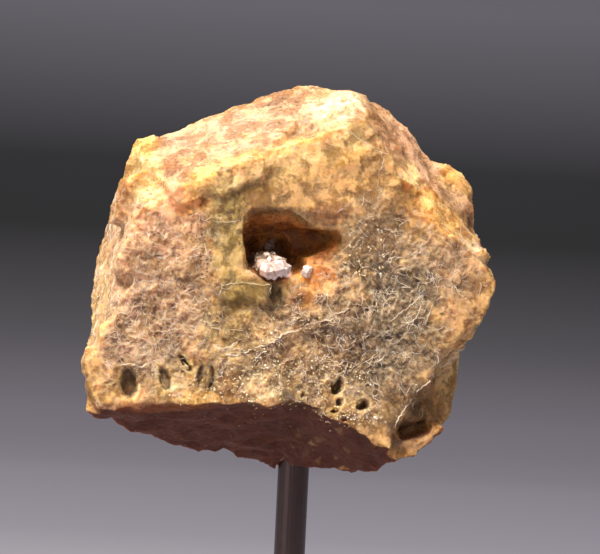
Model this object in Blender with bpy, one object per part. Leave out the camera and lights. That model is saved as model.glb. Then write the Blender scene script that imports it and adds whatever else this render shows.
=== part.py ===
"""A grossular garnet crystal with an open hollow in its front face, held on a thin metal display rod.

The stone is worked out in millimetres in its own axes, +Y going away from the viewer, and is then
set on the rod.  The row's origin is the centre of the stand's underside, on the rod's axis, +Z up.
"""

import math
import random

import bmesh
import bpy
from mathutils import Euler, Matrix, Vector, noise

# Stand, in millimetres
BASE_RADIUS = 22.0
BASE_HEIGHT = 9.0
BASE_EDGE_ROUND = 1.6
BASE_FOOT_CHAMFER = 0.5
BASE_SOCKET_DEPTH = 5.0
ROD_RADIUS = 1.2
ROD_TIP_ROUND = 0.7
ROD_TOP = 40.6
FIT_GAP = 0.3
STONE_SOCKET_TOP = 41.2
SOCKET_CUT_FROM = 30.0
ROD_SIDES = 24
BASE_SIDES = 48

# Where the stone's middle stands over the base, and how far its picture leans
STONE_CENTRE = Vector((-1.0, 0.0, 54.0))
STONE_LEAN = math.radians(2.8)

# How the garnet's form is turned: to the right, upwards, and in the plane of the front face
CRYSTAL_TURN = math.radians(13.0)
CRYSTAL_NOD = math.radians(4.0)
CRYSTAL_TILT = math.radians(75.0)

# Distances of the crystal faces from the stone's middle, in millimetres
FRONT = 10.4
CORE_FRONT = 9.4
BACK = 11.6
LEFT = 14.0
RIGHT = 13.0
UPPER_LEFT = 12.6
UPPER_RIGHT = 12.8
BACK_UPPER_LEFT = 11.0
BACK_UPPER_RIGHT = 11.5
BACK_LOWER_LEFT = 12.4
BACK_LOWER_RIGHT = 12.8
CRUST_UPPER_LEFT = 13.1
CRUST_UPPER_RIGHT = 13.4
CRUST_LEFT = 14.3
CRUST_RIGHT = 13.1
RIM_OVERHANG = 0.5
RIM_END = 7.9

# Roughness of the broken and grown surfaces, and the meshes' fineness
VOXEL = 0.26
STONE_TRIANGLES = 7100
FACE_WAVE = 0.2
BREAK_WAVE = 0.34

HALF = math.sqrt(0.5)


def crystal_axes():
    """Return the front face's normal and its short and long diagonals."""
    turn = Matrix.Rotation(CRYSTAL_TURN, 3, "Z") @ Matrix.Rotation(-CRYSTAL_NOD, 3, "X")
    front = turn @ Vector((0.0, -1.0, 0.0))
    short = turn @ Vector((math.cos(CRYSTAL_TILT), 0.0, math.sin(CRYSTAL_TILT)))
    long = turn @ Vector((math.sin(CRYSTAL_TILT), 0.0, -math.cos(CRYSTAL_TILT)))
    return front, short, long


F, S, L = crystal_axes()
U = (Vector((1.0, 0.0, 0.0)) - F * F.x).normalized()
V = F.cross(U)

N_UPPER_LEFT = 0.5 * F - 0.5 * L + HALF * S
N_UPPER_RIGHT = 0.5 * F + 0.5 * L + HALF * S
N_BACK_UPPER_LEFT = -0.5 * F - 0.5 * L + HALF * S
N_BACK_UPPER_RIGHT = -0.5 * F + 0.5 * L + HALF * S
N_BACK_LOWER_LEFT = -0.5 * F - 0.5 * L - HALF * S
N_BACK_LOWER_RIGHT = -0.5 * F + 0.5 * L - HALF * S


def on_front(u, v, rise):
    """Point above the front face: u to the right, v up, rise outwards."""
    return U * u + V * v + F * (FRONT + rise)


def new_object(name, bm):
    """Turn a bmesh into an object of the scene."""
    bmesh.ops.recalc_face_normals(bm, faces=bm.faces)
    if bm.calc_volume(signed=True) < 0.0:
        bmesh.ops.reverse_faces(bm, faces=bm.faces)
    mesh = bpy.data.meshes.new(name)
    bm.to_mesh(mesh)
    bm.free()
    obj = bpy.data.objects.new(name, mesh)
    bpy.context.scene.collection.objects.link(obj)
    return obj


def convex_solid(name, planes, reach=40.0):
    """Solid inside all the planes, each given as an outward normal and a distance."""
    bm = bmesh.new()
    bmesh.ops.create_cube(bm, size=2.0 * reach)
    for normal, distance in planes:
        unit = Vector(normal).normalized()
        geom = bm.verts[:] + bm.edges[:] + bm.faces[:]
        cut = bmesh.ops.bisect_plane(bm, geom=geom, plane_co=unit * distance, plane_no=unit, clear_outer=True)
        rim = [e for e in cut["geom_cut"] if isinstance(e, bmesh.types.BMEdge)]
        if rim:
            bmesh.ops.contextual_create(bm, geom=rim)
    bmesh.ops.triangulate(bm, faces=bm.faces)
    return new_object(name, bm)


def hull_solid(name, points):
    """Convex solid around some points."""
    bm = bmesh.new()
    for point in points:
        bm.verts.new(point)
    hull = bmesh.ops.convex_hull(bm, input=bm.verts)
    inside = [v for v in hull["geom_interior"] if isinstance(v, bmesh.types.BMVert)]
    bmesh.ops.delete(bm, geom=inside, context="VERTS")
    bmesh.ops.triangulate(bm, faces=bm.faces)
    return new_object(name, bm)


def front_hull(name, points):
    """Convex solid around points given as (u, v, rise) on the front face."""
    return hull_solid(name, [on_front(*p) for p in points])


def front_plate(name, outline, low, high):
    """Plate of any outline on the front face, between two rises."""
    bm = bmesh.new()
    lower = [bm.verts.new(on_front(u, v, low)) for u, v in outline]
    upper = [bm.verts.new(on_front(u, v, high)) for u, v in outline]
    count = len(outline)
    bm.faces.new(lower)
    bm.faces.new(upper)
    for i in range(count):
        j = (i + 1) % count
        bm.faces.new((lower[i], lower[j], upper[j], upper[i]))
    bmesh.ops.triangulate(bm, faces=bm.faces)
    return new_object(name, bm)


def pebble(name, centre, radii, seed, tilt=0.0, rough=0.18, level=2):
    """Rounded lump or pit with radii along u, v and the rise, tilted in the front face."""
    bm = bmesh.new()
    bmesh.ops.create_icosphere(bm, subdivisions=level, radius=1.0)
    drift = Vector((seed * 3.7, seed * 1.3, seed * 2.1))
    for vert in bm.verts:
        vert.co *= 1.0 + rough * noise.noise(vert.co * 1.7 + drift)
    across = U * math.cos(tilt) + V * math.sin(tilt)
    along = V * math.cos(tilt) - U * math.sin(tilt)
    for vert in bm.verts:
        x, y, z = vert.co
        vert.co = centre + across * (x * radii[0]) + along * (y * radii[1]) + F * (z * radii[2])
    return new_object(name, bm)


def combine(target, others, operation):
    """Join or cut the target by the other solids, which are then removed."""
    for other in others:
        other.hide_render = True
        other.display_type = "WIRE"
        step = target.modifiers.new(operation.title(), "BOOLEAN")
        step.operation = operation
        step.solver = "EXACT"
        step.object = other
        apply_modifiers(target)
        bpy.data.objects.remove(other)


def apply_modifiers(obj):
    """Replace the object's mesh by its evaluated form."""
    graph = bpy.context.evaluated_depsgraph_get()
    graph.update()
    mesh = bpy.data.meshes.new_from_object(obj.evaluated_get(graph))
    old = obj.data
    obj.modifiers.clear()
    obj.data = mesh
    bpy.data.meshes.remove(old)


def remesh(obj, size):
    """Even out the surface on a grid of small cubes."""
    step = obj.modifiers.new("Grid", "REMESH")
    step.mode = "VOXEL"
    step.voxel_size = size
    step.adaptivity = 0.0
    apply_modifiers(obj)


def decimate(obj, triangles):
    """Bring the mesh down to a number of triangles."""
    obj.data.calc_loop_triangles()
    step = obj.modifiers.new("Facets", "DECIMATE")
    step.ratio = triangles / len(obj.data.loop_triangles)
    step.use_collapse_triangulate = True
    apply_modifiers(obj)


# The stone's solid forms

UNDERSIDE_LEFT = (Vector((0.115, -0.418, -0.901)), 12.9)
UNDERSIDE_RIGHT = (Vector((-0.366, -0.478, -0.798)), 12.2)
CHIPPED_CORNER = ((0.72, 0.0, -0.69), 15.8)
LOWER_LEFT_CORNER = ((-0.86, 0.15, -0.48), 15.3)
LOWER_PLANES = (
    ((0.13, 0.15, -0.98), 14.3), ((-0.45, 0.20, -0.87), 13.5), ((-0.86, 0.15, -0.48), 16.7),
    ((0.72, 0.0, -0.69), 15.9), ((0.30, 0.0, -0.954), 15.4),
)
BACK_BREAKS = (((-0.60, 0.70, -0.38), 14.6), ((0.65, 0.72, 0.25), 14.4))
CAP_PLANES = (
    ((0.17, 0.25, 0.95), 14.1), ((0.42, 0.25, 0.87), 14.3),
    ((0.12, -0.03, 0.99), 14.4), ((0.42, -0.03, 0.905), 14.5),
)
PLATE_OUTLINE = (
    (-15.6, -14.0), (-16.2, -10.2), (-17.3, -7.8), (-16.8, -4.9), (-15.1, -4.1), (-14.7, -2.6), (-13.6, -0.9),
    (-15.4, -0.4), (-15.2, 1.9), (-14.4, 3.4), (-10.2, 5.4), (-5.7, 7.6), (1.8, 10.4), (3.9, 11.0),
    (4.9, 8.6), (5.6, 7.6), (6.1, 6.1), (6.4, 5.0), (7.1, 4.0), (8.2, 3.9), (9.4, 3.0), (10.5, 2.2),
    (13.3, 0.0),
    (13.0, -2.3), (12.1, -4.3), (10.6, -4.9), (10.1, -5.9), (8.9, -6.6), (8.6, -7.8), (7.0, -9.7),
    (6.3, -11.0), (5.4, -12.0), (5.0, -14.6),
)
COLUMN_OUTLINE = ((-8.2, 7.0), (-6.0, 7.4), (-5.9, 0.6), (-5.8, -1.4), (-8.0, -1.6), (-8.3, 2.0))
FOOT_OUTLINE = (
    (-7.9, -0.8), (-6.6, -0.2), (-5.4, -0.7), (-3.8, -1.0), (-3.6, -3.0), (-5.2, -2.5), (-7.0, -2.8),
    (-8.1, -1.6),
)
CREAM_BLOCK = ((-14.9, 3.2), (-14.2, 6.3), (-11.9, 7.4), (-11.5, 4.6), (-12.6, 2.6))
CORNER_BLOCK = (
    (-11.9, -1.8, 10.45), (-10.4, -2.1, 10.75), (-9.9, 0.4, 10.9), (-11.6, 0.8, 10.3),
    (-12.35, -2.4, 8.9), (-12.2, 0.6, 8.7), (-13.1, -2.8, 6.3), (-12.9, 0.4, 6.1),
    (-10.0, -3.1, 9.9), (-10.2, -3.9, 7.6), (-11.2, -4.6, 6.0), (-9.4, -1.0, 8.0),
)


def caps(step):
    """The planes that blunt the stone's top, moved outwards by a step."""
    return [(normal, distance + step) for normal, distance in CAP_PLANES]


def stone_core():
    """The crystal's inner body, with the outline that its back faces give it."""
    planes = [
        (F, CORE_FRONT), (-F, BACK), (-L, LEFT), (L, RIGHT),
        (N_UPPER_LEFT, UPPER_LEFT), (N_UPPER_RIGHT, UPPER_RIGHT),
        (N_BACK_UPPER_LEFT, BACK_UPPER_LEFT), (N_BACK_UPPER_RIGHT, BACK_UPPER_RIGHT),
        (N_BACK_LOWER_LEFT, BACK_LOWER_LEFT), (N_BACK_LOWER_RIGHT, BACK_LOWER_RIGHT),
    ]
    planes += [*LOWER_PLANES, *caps(0.0), *BACK_BREAKS]
    return convex_solid("garnet_crystal", planes)


def front_crust():
    """The thick crust on the front face, broken back at its lower right and notched at both sides."""
    plate = front_plate("front crust", PLATE_OUTLINE, -2.2, 0.0)
    limit = convex_solid("limit", [
        (N_UPPER_LEFT, CRUST_UPPER_LEFT), (N_UPPER_RIGHT, CRUST_UPPER_RIGHT),
        (L, CRUST_RIGHT), (-L, CRUST_LEFT), CHIPPED_CORNER, LOWER_LEFT_CORNER,
    ])
    combine(plate, [limit], "INTERSECT")
    return plate


def rim_crust():
    """The yellow crust along the upper left edge, standing over the front face."""
    edge = F.cross(N_UPPER_LEFT).normalized()
    if edge.x < 0.0:
        edge = -edge
    planes = [
        (F, FRONT + RIM_OVERHANG), (-F, -7.4),
        (N_UPPER_LEFT, CRUST_UPPER_LEFT + 0.15), (-N_UPPER_LEFT, -11.9),
        (N_UPPER_RIGHT, CRUST_UPPER_RIGHT - 0.2), (-edge, 8.6), (edge * 0.6 + F * 0.8, RIM_END),
    ]
    return convex_solid("rim crust", planes)


def ledge_layers():
    """Thin layers on the upper faces, each stepping back from the one before."""
    mauve = convex_solid("mauve layer", [
        (F, 8.0), (-F, -2.6), (N_UPPER_LEFT, UPPER_LEFT + 0.35), (-N_UPPER_LEFT, -11.6),
        (-L, 9.5), (N_UPPER_RIGHT, UPPER_RIGHT + 0.1), *caps(0.17),
    ])
    right = convex_solid("right layer", [
        (F, 7.2), (-F, -1.6), (N_UPPER_RIGHT, UPPER_RIGHT + 0.4), (-N_UPPER_RIGHT, -11.8),
        (N_UPPER_LEFT, UPPER_LEFT + 0.1), (L, 11.6), *caps(0.29),
    ])
    return [mauve, right]


def cream_block():
    """The bright block at the upper left corner."""
    return front_plate("cream block", CREAM_BLOCK, -5.2, -2.3)


def silhouette_lumps():
    """Lumps that break the outline: at the right, at the top and at the upper left corner."""
    return [
        pebble("yellow lump", Vector((12.3, 2.5, 7.0)), (1.3, 2.5, 2.4), 3, 0.7, 0.4),
        pebble("right swelling", Vector((13.0, 1.2, 4.8)), (1.3, 2.4, 2.2), 4, 0.3),
        pebble("pale knob", Vector((14.3, -3.6, 1.4)), (0.8, 1.0, 1.3), 5, 0.3),
        pebble("top hump", Vector((-2.2, 0.5, 13.2)), (1.3, 0.8, 2.0), 7, 0.3),
        hull_solid("corner block", [Vector(p) for p in CORNER_BLOCK]),
        pebble("lower lump", on_front(6.2, -12.9, -1.9), (0.9, 0.7, 0.9), 11),
        pebble("lower lump", on_front(7.9, -12.2, -2.3), (0.8, 0.9, 0.9), 12),
        pebble("left knob", on_front(-16.5, -7.2, -1.2), (0.9, 1.3, 1.3), 13),
    ]


def green_plate():
    """The greenish plate left of the hollow, low at its top, with a raised foot that ends in a step."""
    column = front_plate("green column", COLUMN_OUTLINE, -1.2, 0.2)
    foot = front_plate("green foot", FOOT_OUTLINE, -1.2, 0.48)
    return [column, foot]


def small_ridges():
    """Low ridges on the lower front face."""
    ridge = [(-7.0, -6.4, 0.0), (-3.6, -5.4, 0.3), (0.9, -3.9, 0.0), (-3.4, -6.1, 0.0), (-3.3, -5.5, -0.6)]
    column = [
        (-8.1, -2.6, 0.0), (-7.2, -2.6, 0.0), (-7.6, -2.6, 0.25), (-7.4, -8.8, 0.2), (-7.9, -9.0, 0.0),
        (-6.9, -9.0, 0.0), (-7.5, -6.0, -0.5),
    ]
    return [front_hull("low ridge", ridge), front_hull("low column", column)]


def hollow_cutters():
    """The open hollow: a chamber under a sloping roof, a slit to the right and the scoops below it."""
    chamber = [
        (-6.0, 3.1, 1.2), (-5.4, 4.5, 1.2), (-2.2, 4.5, 1.2), (-0.7, 3.4, 1.2), (-0.7, 1.0, 1.2),
        (-1.4, -1.0, 1.2), (-4.1, -1.6, 1.2), (-5.5, -0.9, 1.2),
        (-5.5, 1.8, -2.6), (-4.7, 2.4, -2.6), (-2.0, 2.5, -2.6), (-0.9, 1.8, -2.6), (-0.9, 0.1, -2.6),
        (-1.7, -0.3, -2.6), (-4.6, 0.1, -2.6), (-5.3, 0.7, -2.6),
        (-4.2, 1.9, -4.6), (-2.0, 2.0, -4.6), (-1.5, 0.9, -4.6), (-4.0, 0.95, -4.6),
    ]
    slit = [
        (-1.8, 2.7, 1.2), (1.6, 2.3, 1.2), (1.9, 1.6, 1.2), (0.2, 0.6, 1.2), (-1.6, 0.2, 1.2),
        (-2.2, 3.1, -3.4), (1.2, 2.8, -3.2), (1.4, 2.1, -3.0), (-0.6, 1.1, -3.4), (-2.2, 0.7, -3.4),
    ]
    scoops = [
        pebble("scoop", on_front(0.1, 1.0, 0.0), (1.7, 1.2, 1.3), 31, 0.3, 0.3),
        pebble("scoop", on_front(-0.2, -0.8, 0.3), (1.5, 1.7, 1.2), 32, -0.4, 0.35),
        pebble("scoop", on_front(-1.0, -2.6, 0.35), (1.2, 1.4, 0.8), 33, 0.2, 0.35),
    ]
    return [front_hull("chamber", chamber), front_hull("slit", slit)] + scoops


def break_cutters():
    """What broke away: the wedge under the stone, the lower right corner and the small caves."""
    wedge = convex_solid("wedge", [
        (-UNDERSIDE_LEFT[0], -UNDERSIDE_LEFT[1]), (-UNDERSIDE_RIGHT[0], -UNDERSIDE_RIGHT[1]),
    ])
    corner = convex_solid("corner", [((-0.99, 0.0, 0.137), -13.6), ((-0.45, 0.0, 0.89), -10.1)])
    recess = front_hull("recess", [
        (9.0, -7.0, 1.0), (10.4, -5.6, 1.0), (14.0, -4.6, 1.0), (15.0, -11.0, 1.0), (7.2, -12.0, 1.0),
        (7.0, -10.4, 1.0),
        (8.9, -7.4, -1.9), (10.2, -6.2, -2.1), (14.0, -6.0, -4.6), (14.0, -11.0, -4.6), (8.0, -11.4, -1.8),
        (7.3, -10.3, -1.6),
    ])
    cave = front_hull("cave", [
        (5.6, -11.6, 0.8), (8.6, -10.6, 0.8), (9.6, -11.6, 0.2), (8.4, -12.6, 0.6), (5.8, -12.9, 0.8),
        (6.0, -11.9, -2.4), (8.2, -11.1, -3.2), (8.6, -12.1, -3.2), (6.4, -12.6, -2.6),
    ])
    notch = front_hull("notch", [
        (6.1, 6.6, 0.8), (7.2, 3.9, 0.8), (8.3, 4.1, 0.8), (8.0, 6.6, 0.8),
        (6.3, 6.4, -1.7), (7.2, 4.2, -1.7), (8.6, 4.0, -1.9), (8.6, 6.4, -2.6),
    ])
    groove = front_hull("groove", [
        (-3.7, -1.3, 0.8), (-2.8, -1.5, 0.8), (-2.8, -3.1, 0.8), (-3.7, -3.3, 0.8),
        (-3.4, -1.6, -1.0), (-3.0, -1.7, -1.0), (-3.0, -2.9, -0.9), (-3.4, -3.0, -0.9),
    ])
    left_groove = front_hull("left groove", [
        (-15.6, -0.6, 0.8), (-13.7, -0.6, 0.8), (-14.5, -2.6, 0.8), (-15.6, -2.6, 0.8),
        (-15.6, -0.9, -1.7), (-14.2, -0.9, -1.7), (-14.8, -2.4, -1.7), (-15.6, -2.4, -1.7),
    ])
    lower_notch = hull_solid("lower notch", [
        Vector((-8.0, 3.0, -14.2)), Vector((-6.4, 3.0, -14.6)), Vector((-7.3, 3.0, -12.9)),
        Vector((-8.0, 9.0, -14.8)), Vector((-6.4, 9.0, -15.0)), Vector((-7.3, 9.0, -13.4)),
    ])
    return [wedge, corner, recess, cave, notch, groove, left_groove, lower_notch]


# Small pits, as (u, v, half width, half height, depth, tilt)
PITS = (
    (-13.8, -8.5, 0.55, 1.1, 1.1, 0.0), (-11.4, -8.3, 0.38, 0.75, 0.8, 0.1),
    (-9.9, -7.1, 0.28, 0.7, 0.8, 0.45), (-8.2, -8.1, 0.4, 0.95, 0.6, -0.1),
    (1.2, -8.4, 0.34, 0.62, 0.9, -0.15), (3.0, -9.9, 0.42, 0.34, 0.8, 0.2),
    (1.7, -11.1, 0.34, 0.3, 0.6, 0.0),
)
PIT_SINK = -0.2


def pit_cutters():
    """Small pits with sharp rims."""
    cutters = []
    for index, (u, v, wide, high, deep, tilt) in enumerate(PITS):
        cutters.append(pebble("pit", on_front(u, v, PIT_SINK), (wide, high, deep), 20 + index, tilt, 0.12, 1))
    return cutters


def drop_crumbs(obj):
    """Keep the biggest connected piece of the mesh and remove what the cuts left loose."""
    bm = bmesh.new()
    bm.from_mesh(obj.data)
    islands = []
    left = set(bm.verts)
    while left:
        stack = [left.pop()]
        island = []
        while stack:
            vert = stack.pop()
            island.append(vert)
            for edge in vert.link_edges:
                other = edge.other_vert(vert)
                if other in left:
                    left.remove(other)
                    stack.append(other)
        islands.append(island)
    islands.sort(key=len)
    for island in islands[:-1]:
        bmesh.ops.delete(bm, geom=island, context="VERTS")
    bm.to_mesh(obj.data)
    bm.free()


def roughen(obj):
    """Move the surface in and out: gently on grown faces, more on breaks, not at all in the hollow."""
    mesh = obj.data
    normals = [vert.normal.copy() for vert in mesh.vertices]
    middle = on_front(-2.4, 1.4, -2.0)
    for vert, normal in zip(mesh.vertices, normals):
        point = vert.co
        wave = noise.noise(point * 0.42 + Vector((4.0, 1.0, 7.0)))
        grain = noise.noise(point * 1.05 + Vector((1.0, 8.0, 3.0)))
        broken = max(0.0, min(1.0, (-normal.z - 0.35) * 2.5))
        still = max(0.0, min(1.0, ((point - middle).length - 4.4) / 1.6))
        depth = (FACE_WAVE + (BREAK_WAVE - FACE_WAVE) * broken) * still
        vert.co = point + normal * (depth * (1.1 * wave + 0.8 * grain))
    mesh.update()


def place_stone(obj):
    """Move the stone from its own axes onto the rod."""
    place = Matrix.Translation(STONE_CENTRE) @ Matrix.Rotation(-STONE_LEAN, 4, "Y")
    obj.data.transform(place)


def garnet_crystal():
    """Build the stone with its hollow, breaks, pits and the socket for the rod."""
    stone = stone_core()
    combine(stone, [front_crust(), rim_crust(), cream_block()] + green_plate(), "UNION")
    combine(stone, ledge_layers() + silhouette_lumps() + small_ridges(), "UNION")
    combine(stone, break_cutters() + hollow_cutters(), "DIFFERENCE")
    remesh(stone, VOXEL)
    drop_crumbs(stone)
    roughen(stone)
    decimate(stone, STONE_TRIANGLES)
    combine(stone, pit_cutters(), "DIFFERENCE")
    place_stone(stone)
    hole = ROD_RADIUS + FIT_GAP
    top = STONE_SOCKET_TOP
    profile = [(0.0, top), (hole, top), (hole, SOCKET_CUT_FROM), (0.0, SOCKET_CUT_FROM)]
    combine(stone, [turned_solid("socket", profile, ROD_SIDES)], "DIFFERENCE")
    return stone


# Small crystals in the hollow, as (u, v, rise, size)
SMALL_CRYSTALS = (
    (-3.7, -0.45, -0.35, 0.7), (-3.3, -0.45, -0.3, 0.7), (-3.0, -0.4, -0.4, 0.4), (-3.9, -0.35, -0.5, 0.5),
    (-3.8, -0.3, -0.9, 0.55), (-3.3, -0.25, -0.75, 0.7), (-2.95, -0.15, -1.1, 0.5), (-4.3, -0.05, -1.2, 0.4),
    (-4.3, 0.2, -1.7, 0.4), (-3.7, 0.15, -1.5, 0.6), (-4.0, 0.35, -2.0, 0.5), (-3.1, 0.2, -1.8, 0.45),
    (-2.7, 0.05, -1.45, 0.35), (-4.0, 0.6, -2.4, 0.4), (-3.4, 0.6, -2.3, 0.45), (-2.7, 0.4, -2.1, 0.35),
)


def small_crystal(name, centre, size, dice):
    """A twelve-faced garnet crystal of rhombs, turned by chance."""
    corners = [Vector((x, y, z)) for x in (-1, 1) for y in (-1, 1) for z in (-1, 1)]
    for axis in range(3):
        tip = Vector((0.0, 0.0, 0.0))
        tip[axis] = 2.0
        corners += [tip, -tip]
    turn = Euler((dice.uniform(0.0, 3.0), dice.uniform(0.0, 3.0), dice.uniform(0.0, 3.0))).to_matrix()
    stretch = Vector((dice.uniform(0.85, 1.15), dice.uniform(0.85, 1.15), dice.uniform(0.85, 1.15)))
    points = []
    for corner in corners:
        points.append(centre + turn @ (corner * stretch) * (size * 0.5))
    return hull_solid(name, points)


def hollow_crystals():
    """The crust of pale crystals on the hollow's floor, one piece on a thin shared plate."""
    plate = [
        (-4.4, -0.35, -0.9), (-4.0, -0.7, -0.3), (-3.1, -0.7, -0.3), (-2.5, -0.25, -1.0),
        (-2.45, 0.35, -2.4), (-4.3, 0.35, -2.4),
        (-4.4, 0.0, -0.9), (-4.0, -0.4, -0.3), (-3.1, -0.4, -0.3), (-2.5, 0.0, -1.0),
        (-2.45, 0.65, -2.4), (-4.3, 0.65, -2.4),
    ]
    crust = front_hull("hollow_crystals", plate)
    dice = random.Random(11)
    grains = []
    for u, v, rise, size in SMALL_CRYSTALS:
        grains.append(small_crystal("grain", on_front(u, v + 0.12, rise), size, dice))
    combine(crust, grains, "UNION")
    floor = front_hull("floor", [
        (-9.0, -0.99, 0.4), (1.0, -0.99, 0.4), (-9.0, 0.1, -2.0), (1.0, 0.1, -2.0),
        (-9.0, 0.72, -3.4), (1.0, 0.72, -3.4),
        (-9.0, -5.0, 0.4), (1.0, -5.0, 0.4), (-9.0, -5.0, -3.4), (1.0, -5.0, -3.4),
    ])
    combine(crust, [floor], "DIFFERENCE")
    place_stone(crust)
    return crust


def turned_solid(name, profile, steps):
    """Solid of revolution about the vertical axis, from a profile of (radius, height)."""
    bm = bmesh.new()
    verts = [bm.verts.new((radius, 0.0, height)) for radius, height in profile]
    edges = [bm.edges.new(pair) for pair in zip(verts, verts[1:])]
    up = (0.0, 0.0, 1.0)
    bmesh.ops.spin(bm, geom=verts + edges, axis=up, cent=(0.0, 0.0, 0.0), steps=steps, angle=2.0 * math.pi)
    bmesh.ops.remove_doubles(bm, verts=bm.verts, dist=0.0001)
    bmesh.ops.dissolve_degenerate(bm, edges=bm.edges, dist=0.0001)
    return new_object(name, bm)


def rounded(centre, radius, start, end, steps):
    """Points of an arc in a profile, its angles in degrees."""
    points = []
    for i in range(steps + 1):
        angle = math.radians(start + (end - start) * i / steps)
        points.append((centre[0] + radius * math.cos(angle), centre[1] + radius * math.sin(angle)))
    return points


def support_rod():
    """The round rod with a softened tip."""
    foot = BASE_HEIGHT - BASE_SOCKET_DEPTH + FIT_GAP
    tip = rounded((ROD_RADIUS - ROD_TIP_ROUND, ROD_TOP - ROD_TIP_ROUND), ROD_TIP_ROUND, 90.0, 0.0, 3)
    profile = [(0.0, ROD_TOP)] + tip + [(ROD_RADIUS, foot + 0.2), (ROD_RADIUS - 0.2, foot), (0.0, foot)]
    return turned_solid("support_rod", profile, ROD_SIDES)


def stand_base():
    """The plain round base with the rod's socket in its middle."""
    hole = ROD_RADIUS + FIT_GAP
    floor = BASE_HEIGHT - BASE_SOCKET_DEPTH
    middle = (BASE_RADIUS - BASE_EDGE_ROUND, BASE_HEIGHT - BASE_EDGE_ROUND)
    shoulder = rounded(middle, BASE_EDGE_ROUND, 90.0, 0.0, 4)
    profile = [(0.0, floor), (hole, floor), (hole, BASE_HEIGHT - 0.2), (hole + 0.2, BASE_HEIGHT)] + shoulder
    profile += [(BASE_RADIUS, BASE_FOOT_CHAMFER), (BASE_RADIUS - BASE_FOOT_CHAMFER, 0.0), (0.0, 0.0)]
    return turned_solid("stand_base", profile, BASE_SIDES)


def material(name, colour, metallic, roughness, obj):
    """Give an object its own material."""
    made = bpy.data.materials.new(name)
    made.use_nodes = True
    shader = made.node_tree.nodes["Principled BSDF"]
    shader.inputs["Base Color"].default_value = (*colour, 1.0)
    shader.inputs["Metallic"].default_value = metallic
    shader.inputs["Roughness"].default_value = roughness
    obj.data.materials.clear()
    obj.data.materials.append(made)


def garnet_material(obj):
    """Waxy honey-coloured garnet."""
    material("garnet", (0.58, 0.39, 0.16), 0.0, 0.5, obj)


def small_crystal_material(obj):
    """Pale glassy grains."""
    material("pale_garnet", (0.72, 0.66, 0.62), 0.0, 0.25, obj)


def rod_material(obj):
    """Dark lacquered bronze."""
    material("dark_rod", (0.06, 0.035, 0.03), 0.6, 0.35, obj)


def base_material(obj):
    """The same dark lacquer on the base."""
    material("dark_base", (0.055, 0.035, 0.03), 0.6, 0.4, obj)


def finish(obj, sharp_degrees):
    """Tidy a mesh, bring it to metres and shade it."""
    bm = bmesh.new()
    bm.from_mesh(obj.data)
    bmesh.ops.remove_doubles(bm, verts=bm.verts, dist=0.0001)
    bmesh.ops.dissolve_degenerate(bm, edges=bm.edges, dist=0.0001)
    bmesh.ops.triangulate(bm, faces=bm.faces)
    bmesh.ops.recalc_face_normals(bm, faces=bm.faces)
    bm.to_mesh(obj.data)
    bm.free()
    obj.data.transform(Matrix.Scale(0.001, 4))
    for face in obj.data.polygons:
        face.use_smooth = True
    obj.data.set_sharp_from_angle(angle=math.radians(sharp_degrees))
    obj.data.update()


def main():
    """Clear the scene and build the four pieces."""
    for obj in list(bpy.data.objects):
        bpy.data.objects.remove(obj)
    stone = garnet_crystal()
    crust = hollow_crystals()
    rod = support_rod()
    base = stand_base()
    garnet_material(stone)
    small_crystal_material(crust)
    rod_material(rod)
    base_material(base)
    finish(stone, 35.0)
    finish(crust, 20.0)
    finish(rod, 40.0)
    finish(base, 40.0)


main()
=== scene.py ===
"""Looks of a grossular garnet crystal on its display rod, laid out as an add-on.

All sizes in the tables are millimetres in the stone's own axes: x to the right, y away from the
viewer and z up, from the stone's middle.
"""

import math
import random
from functools import partial

import bmesh
import bpy
import numpy as np
from bpy.props import FloatProperty, FloatVectorProperty, IntProperty, PointerProperty
from mathutils import Euler, Matrix, Vector, noise
from mathutils.bvhtree import BVHTree


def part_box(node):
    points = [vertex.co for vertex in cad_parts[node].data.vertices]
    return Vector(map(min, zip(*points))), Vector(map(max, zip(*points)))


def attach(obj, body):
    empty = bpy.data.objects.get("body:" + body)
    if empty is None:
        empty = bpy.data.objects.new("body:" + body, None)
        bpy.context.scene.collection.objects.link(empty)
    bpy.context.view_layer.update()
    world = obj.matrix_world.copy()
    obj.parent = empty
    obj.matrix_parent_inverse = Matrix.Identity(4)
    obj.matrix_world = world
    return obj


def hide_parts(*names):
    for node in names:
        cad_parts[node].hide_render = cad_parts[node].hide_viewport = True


bl_info = {
    "name": "Grossular garnet specimen",
    "version": (1, 0, 0),
    "blender": (4, 5, 0),
    "location": "3D View > Sidebar > Garnet",
    "description": "Builds the visible stone, its fibres, its small crystals, the stand and the studio",
    "category": "Object",
}

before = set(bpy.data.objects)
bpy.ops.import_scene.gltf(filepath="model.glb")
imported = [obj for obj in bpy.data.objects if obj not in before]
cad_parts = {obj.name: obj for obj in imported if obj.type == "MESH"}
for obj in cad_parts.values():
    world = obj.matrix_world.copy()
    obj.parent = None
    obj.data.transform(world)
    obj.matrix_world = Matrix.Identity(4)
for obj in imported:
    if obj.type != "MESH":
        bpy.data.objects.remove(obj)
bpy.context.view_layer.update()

MM = 0.001
STONE_CENTRE = Vector((-1.0, 0.0, 54.0))
STONE_LEAN = math.radians(2.8)
TO_WORLD = Matrix.Rotation(-STONE_LEAN, 3, "Y")

# The front face's normal and its distance from the stone's middle, as in the solid
TURN = Matrix.Rotation(math.radians(13.0), 3, "Z") @ Matrix.Rotation(math.radians(-4.0), 3, "X")
FRONT_NORMAL = TURN @ Vector((0.0, -1.0, 0.0))
FRONT_DISTANCE = 10.4

# The camera: its distance, the picture's width there in millimetres and pixels, and its shift in pixels
VIEW_DISTANCE = 160.0
VIEW_WIDTH = 46.5
IMAGE_WIDTH = 600
VIEW_SHIFT = (10.0, -1.0)
SENSOR_WIDTH = 36.0

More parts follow.
